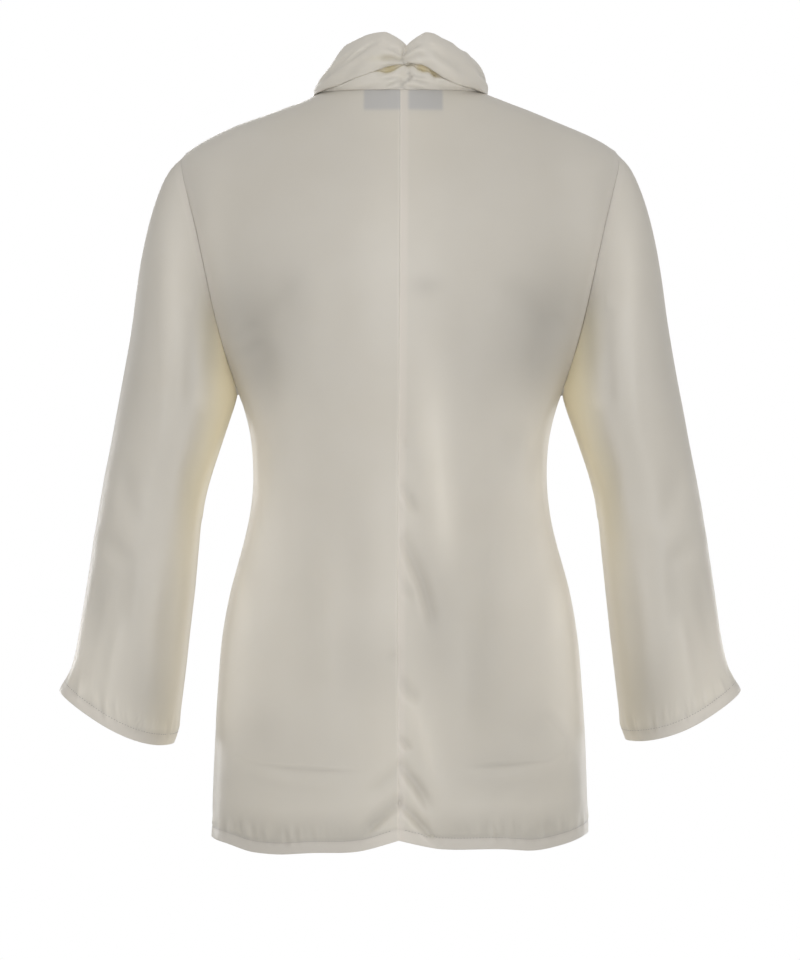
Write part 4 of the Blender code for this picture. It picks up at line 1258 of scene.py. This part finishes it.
def curveThrough(points, stretches):
    # Catmull-Rom through the points
    ends = [2 * points[0] - points[1], *points, 2 * points[-1] - points[-2]]
    line = []
    for i, pieces in enumerate(stretches):
        a, b, c, d = ends[i:i + 4]
        for k in range(pieces):
            t = k / pieces
            line.append((2 * b + (c - a) * t + (2 * a - 5 * b + 4 * c - d) * t**2
                         + (3 * b - a - 3 * c + d) * t**3) / 2)
    return np.array(line + [points[-1]])


def opened(psi):
    # how far the roll stands off the band there
    return min(1.0, sum(share * math.exp(-(((psi - place) / spread) ** 2))
                        for place, spread, share in collar["pockets"]))


def collarSection(psi):
    # the line of the cloth from the neck seam up, over and down inside
    points = tableAt(collar["sections"], abs(psi))
    top, edge = tableAt(collar["drops"], abs(psi)) if psi < 0 else (0.0, 0.0)
    parts = [point - (0, ofEdge * edge + ofTop * top)
             for point, (ofEdge, ofTop) in zip(points, collar["dropShares"])]
    band, crest, pleat, under, edge, belly, shoulder, top = parts
    # away from its pockets, the roll rests on the band's crest
    shut = (1 - opened(psi)) * (1 - float(smoothStep(*collar["shutWithin"], abs(psi))))
    crest, pleat, under = (point + (edge + shift - point) * shut
                           for point, shift in zip((crest, pleat, under), collar["shutTo"]))
    lower, further = collar["bandShut"]
    band = band + (crest * lower + further - band) * shut
    inside = min(collar["insideAt"], top[0] + collar["turnIn"][0])
    ends = [(inside + out, top[1] * height) for out, height in collar["insideHeights"]]
    parts = [collar["foot"], band, crest, pleat, under, edge, belly, shoulder, top,
             top + collar["turnIn"], *ends, collar["end"]]
    return curveThrough([np.array(part) for part in parts], collar["stretches"])


def neckCurve(count):
    # stations along the neck seam from the centre back by the wearer's left, closer at the back
    loop = sorted(neckRim, key=lambda co: math.atan2(co.x, co.y) % (2 * math.pi))
    loop = np.array([co[:] for co in loop])
    loop = np.vstack([loop, loop[:1]])
    lengths = np.concatenate([[0], np.cumsum(np.linalg.norm(np.diff(loop, axis=0), axis=1))])
    share = np.arange(count + 1) / count
    share = share - collar["crowding"] * np.sin(2 * math.pi * share) / (2 * math.pi)
    return np.array([np.interp(share * lengths[-1], lengths, loop[:, axis]) for axis in range(3)]).T


def within(rows, low, high, softLow, softHigh):
    rising = smoothStep(low - softLow, low + softLow, rows)
    return rising * smoothStep(high + softHigh, high - softHigh, rows)


def collarFolds(points, rows, degrees):
    # how far each point of the collar rises, given its row and its degrees from the centre back, and the
    # shading painted with its folds
    found = np.zeros((2, len(points)))
    behind = smoothStep(*collar["foldsFacing"], points[:, 1])
    for zone, *fold in collar["folds"]:
        inZone = within(rows, *collar["rows"][zone], *collar["rowsSoft"])
        found += foldRise(points[:, [0, 2]], [fold]) * behind * inZone
    unrolled = np.stack([degrees * collar["perDegree"], rows * collar["perRow"]], axis=1) * mm
    for path, *fold in collar["wraps"]:
        path = [(degree * collar["perDegree"], row * collar["perRow"]) for degree, row in path]
        found += foldRise(unrolled, [(path, *fold)])
    return found


def stationAxes(bases, i):
    # the ways out from the neck seam and up along the collar, at one station
    along = bases[(i + 1) % collar["stations"]] - bases[(i - 1) % collar["stations"]]
    along /= np.linalg.norm(along)
    out = np.array((along[1], -along[0], 0))
    out /= np.linalg.norm(out) * (1 if out @ bases[i] > 0 else -1)
    square = np.cross(out, along)
    square *= 1 if square[2] > 0 else -1
    up = np.array((0, 0, 1)) * (1 - collar["lean"]) + square * collar["lean"]
    return out, up / np.linalg.norm(up)


def collarSurface(stations, rows):
    # the points of the collar, a section at each station of the neck seam, and their degrees
    bases = neckCurve(stations)
    for _ in range(collar["evened"]):
        ring = bases[:-1]
        bases[:-1] = (np.roll(ring, 1, axis=0) + 2 * ring + np.roll(ring, -1, axis=0)) / 4
        bases[-1] = bases[0]
    surface, degrees = np.zeros((stations + 1, rows + 1, 3)), np.zeros(stations + 1)
    beyond, height = collar["swayBeyond"]
    for i, base in enumerate(bases):
        out, up = stationAxes(bases, i)
        psi = degrees[i] = math.degrees(math.atan2(base[0], base[1]))
        line = collarSection(psi)
        central = math.exp(-((psi / collar["swayWithin"]) ** 2))
        sway = np.interp(line[:, 1], *zip(*collar["sway"])) * central
        sway -= beyond * np.clip(line[:, 1] / height, 0, 1) * (1 - central)
        surface[i] = base + (np.outer(line[:, 0], out) + np.outer(line[:, 1], up)) * mm
        surface[i, :, 0] += sway * mm
    return surface, degrees


def buildCollar():
    stations, rows = collar["stations"], sum(collar["stretches"])
    surface, degrees = collarSurface(stations, rows)
    bm = bmesh.new()
    bmesh.ops.create_grid(bm, x_segments=stations, y_segments=rows, size=1)
    newLayers(bm, "row", "degree", "glow", "sheen", "rim")
    rowLayer, degreeLayer = (bm.verts.layers.float[name] for name in ("row", "degree"))
    for vert in bm.verts:
        i, row = round((vert.co.x + 1) / 2 * stations), round((vert.co.y + 1) / 2 * rows)
        vert.co = surface[i, row]
        vert[rowLayer], vert[degreeLayer] = row, degrees[i]
    bmesh.ops.remove_doubles(bm, verts=bm.verts, dist=collar["weld"])
    faceBack(bm)
    points, normals = arrayOf(bm), arrayOf(bm, "normal")
    rowOf, degreeOf = (np.array([vert[layer] for vert in bm.verts]) for layer in (rowLayer, degreeLayer))
    folded, paintedShading = collarFolds(points, rowOf, degreeOf)
    rise = folded + collar["unevenness"] * unevenness(points, 9.0) + collar["standsOff"]
    # painted shading of its creases, with painted shade and warm glow in its pockets
    strength, *limits = collar["creaseShading"]
    darkening, warming = collar["pocketLight"]
    pocket = within(rowOf, *collar["pocketRows"], *collar["pocketSoft"])
    pocket *= [opened(degree) for degree in degreeOf]
    sheen = np.clip(strength * paintedShading, *limits) + collar["lighter"] + darkening * pocket
    warm = warming * pocket
    facingBack = smoothStep(*collar["spotsFacing"], points[:, 1]) * (rowOf < collar["outerRows"])
    for *place, darker, warmer in collar["spots"]:
        mask = spot(points, *place) * facingBack
        sheen, warm = sheen + darker * mask, warm + warmer * mask
    for vert, up, out in zip(bm.verts, rise, normals):
        vert.co += Vector(out * up)
    keepValues(bm, sheen=sheen, glow=warm, rim=[collar["rim"]] * len(points))
    thing = newThing("collar_cloth")
    finishCloth(thing, bm, materials["collar"])
    return thing


things["collar"] = buildCollar()
print("collar made")

pieces.update(label=label, collar=collar)
for name, thing in things.items():
    threads = [stitches[name]] if name in stitches else []
    for piece in [thing, *threads]:
        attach(piece, "root")
    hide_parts(name)

# Studio
studio = {
    "cameraAt": (0, 2.8, -0.356),
    "frameHeight": 0.8832,  # how much the camera sees at the garment's middle
    "sensor": 36,
    "farthest": 50,
    "floorAt": -1.35,
    "floorRound": (96, 2.8),  # its sides and radius
    "floorColour": (0.86, 0.86, 0.85, 1),
    "lamps": [
        # (name, place, aim, size, watts)
        ("backSoft", (-0.2, 3.4, 0.3), (0, 0, -0.35), 1.5, 26),
        ("backLeft", (1.5, 3.0, -0.7), (0, 0, -0.5), 1.2, 11),
        ("backRight", (-1.6, 2.9, -0.6), (0, 0, -0.5), 1.0, 15),
        ("top", (0.2, 0.7, 2.7), (0, 0, -0.2), 1.6, 9),
        ("frontSoft", (0.4, -3.2, 0.4), (0, 0, -0.35), 1.4, 28),
        ("frontLeft", (2.0, -2.3, -0.5), (0, 0, -0.5), 1.0, 13),
        ("frontRight", (-1.8, -2.5, -0.8), (0, 0, -0.5), 1.2, 10),
    ],
    "sky": 0.475,
    "mirrored": 0.75,  # what the cloth sees of the white surround
}


def put(name, data, place, aim):
    # adds a lamp or a camera that looks at a point
    thing = newThing(name, data)
    thing.location = place
    thing.rotation_mode = "QUATERNION"
    thing.rotation_quaternion = (Vector(aim) - Vector(place)).to_track_quat("-Z", "Y")
    return thing


def makeFloor():
    bm = bmesh.new()
    around, radius = studio["floorRound"]
    bmesh.ops.create_circle(bm, cap_ends=True, radius=radius, segments=around)
    floor = newThing("floor")
    bm.to_mesh(floor.data)
    bm.free()
    floor.location.z = studio["floorAt"]
    material, tree, shader = newMaterial("paleFloor")
    fill(tree, shader, {"Base Color": studio["floorColour"], "Roughness": 0.9})
    floor.data.materials.append(material)


def makeLights():
    for name, place, aim, size, watts in studio["lamps"]:
        lamp = bpy.data.lights.new(name, "AREA")
        lamp.shape = "DISK"
        lamp.size, lamp.energy = size, watts
        put(name, lamp, place, aim)
    scene.world = bpy.data.worlds.new("studio")
    scene.world.use_nodes = True
    tree = scene.world.node_tree
    tree.nodes.clear()
    seen = node(tree, "Background", {"Color": (1, 1, 1, 1), "Strength": 1.0})
    light = node(tree, "Background", {"Color": (1, 0.995, 0.985, 1), "Strength": studio["sky"]})
    rays = node(tree, "LightPath").outputs
    white = maths(tree, "MULTIPLY", rays["Is Glossy Ray"], studio["mirrored"])
    white = maths(tree, "MAXIMUM", rays["Is Camera Ray"], white)
    both = node(tree, "MixShader", {0: white, 1: light.outputs[0], 2: seen.outputs[0]})
    node(tree, "OutputWorld", {0: both.outputs[0]})


def makeCamera():
    data = bpy.data.cameras.new("camera")
    place = studio["cameraAt"]
    scene.camera = put("camera", data, place, (0, 0, place[2]))
    data.sensor_width, data.clip_end = studio["sensor"], studio["farthest"]
    data.lens = data.sensor_width * place[1] / studio["frameHeight"]


makeFloor()
makeLights()
makeCamera()
scene.view_settings.view_transform = "Standard"
print("studio set")
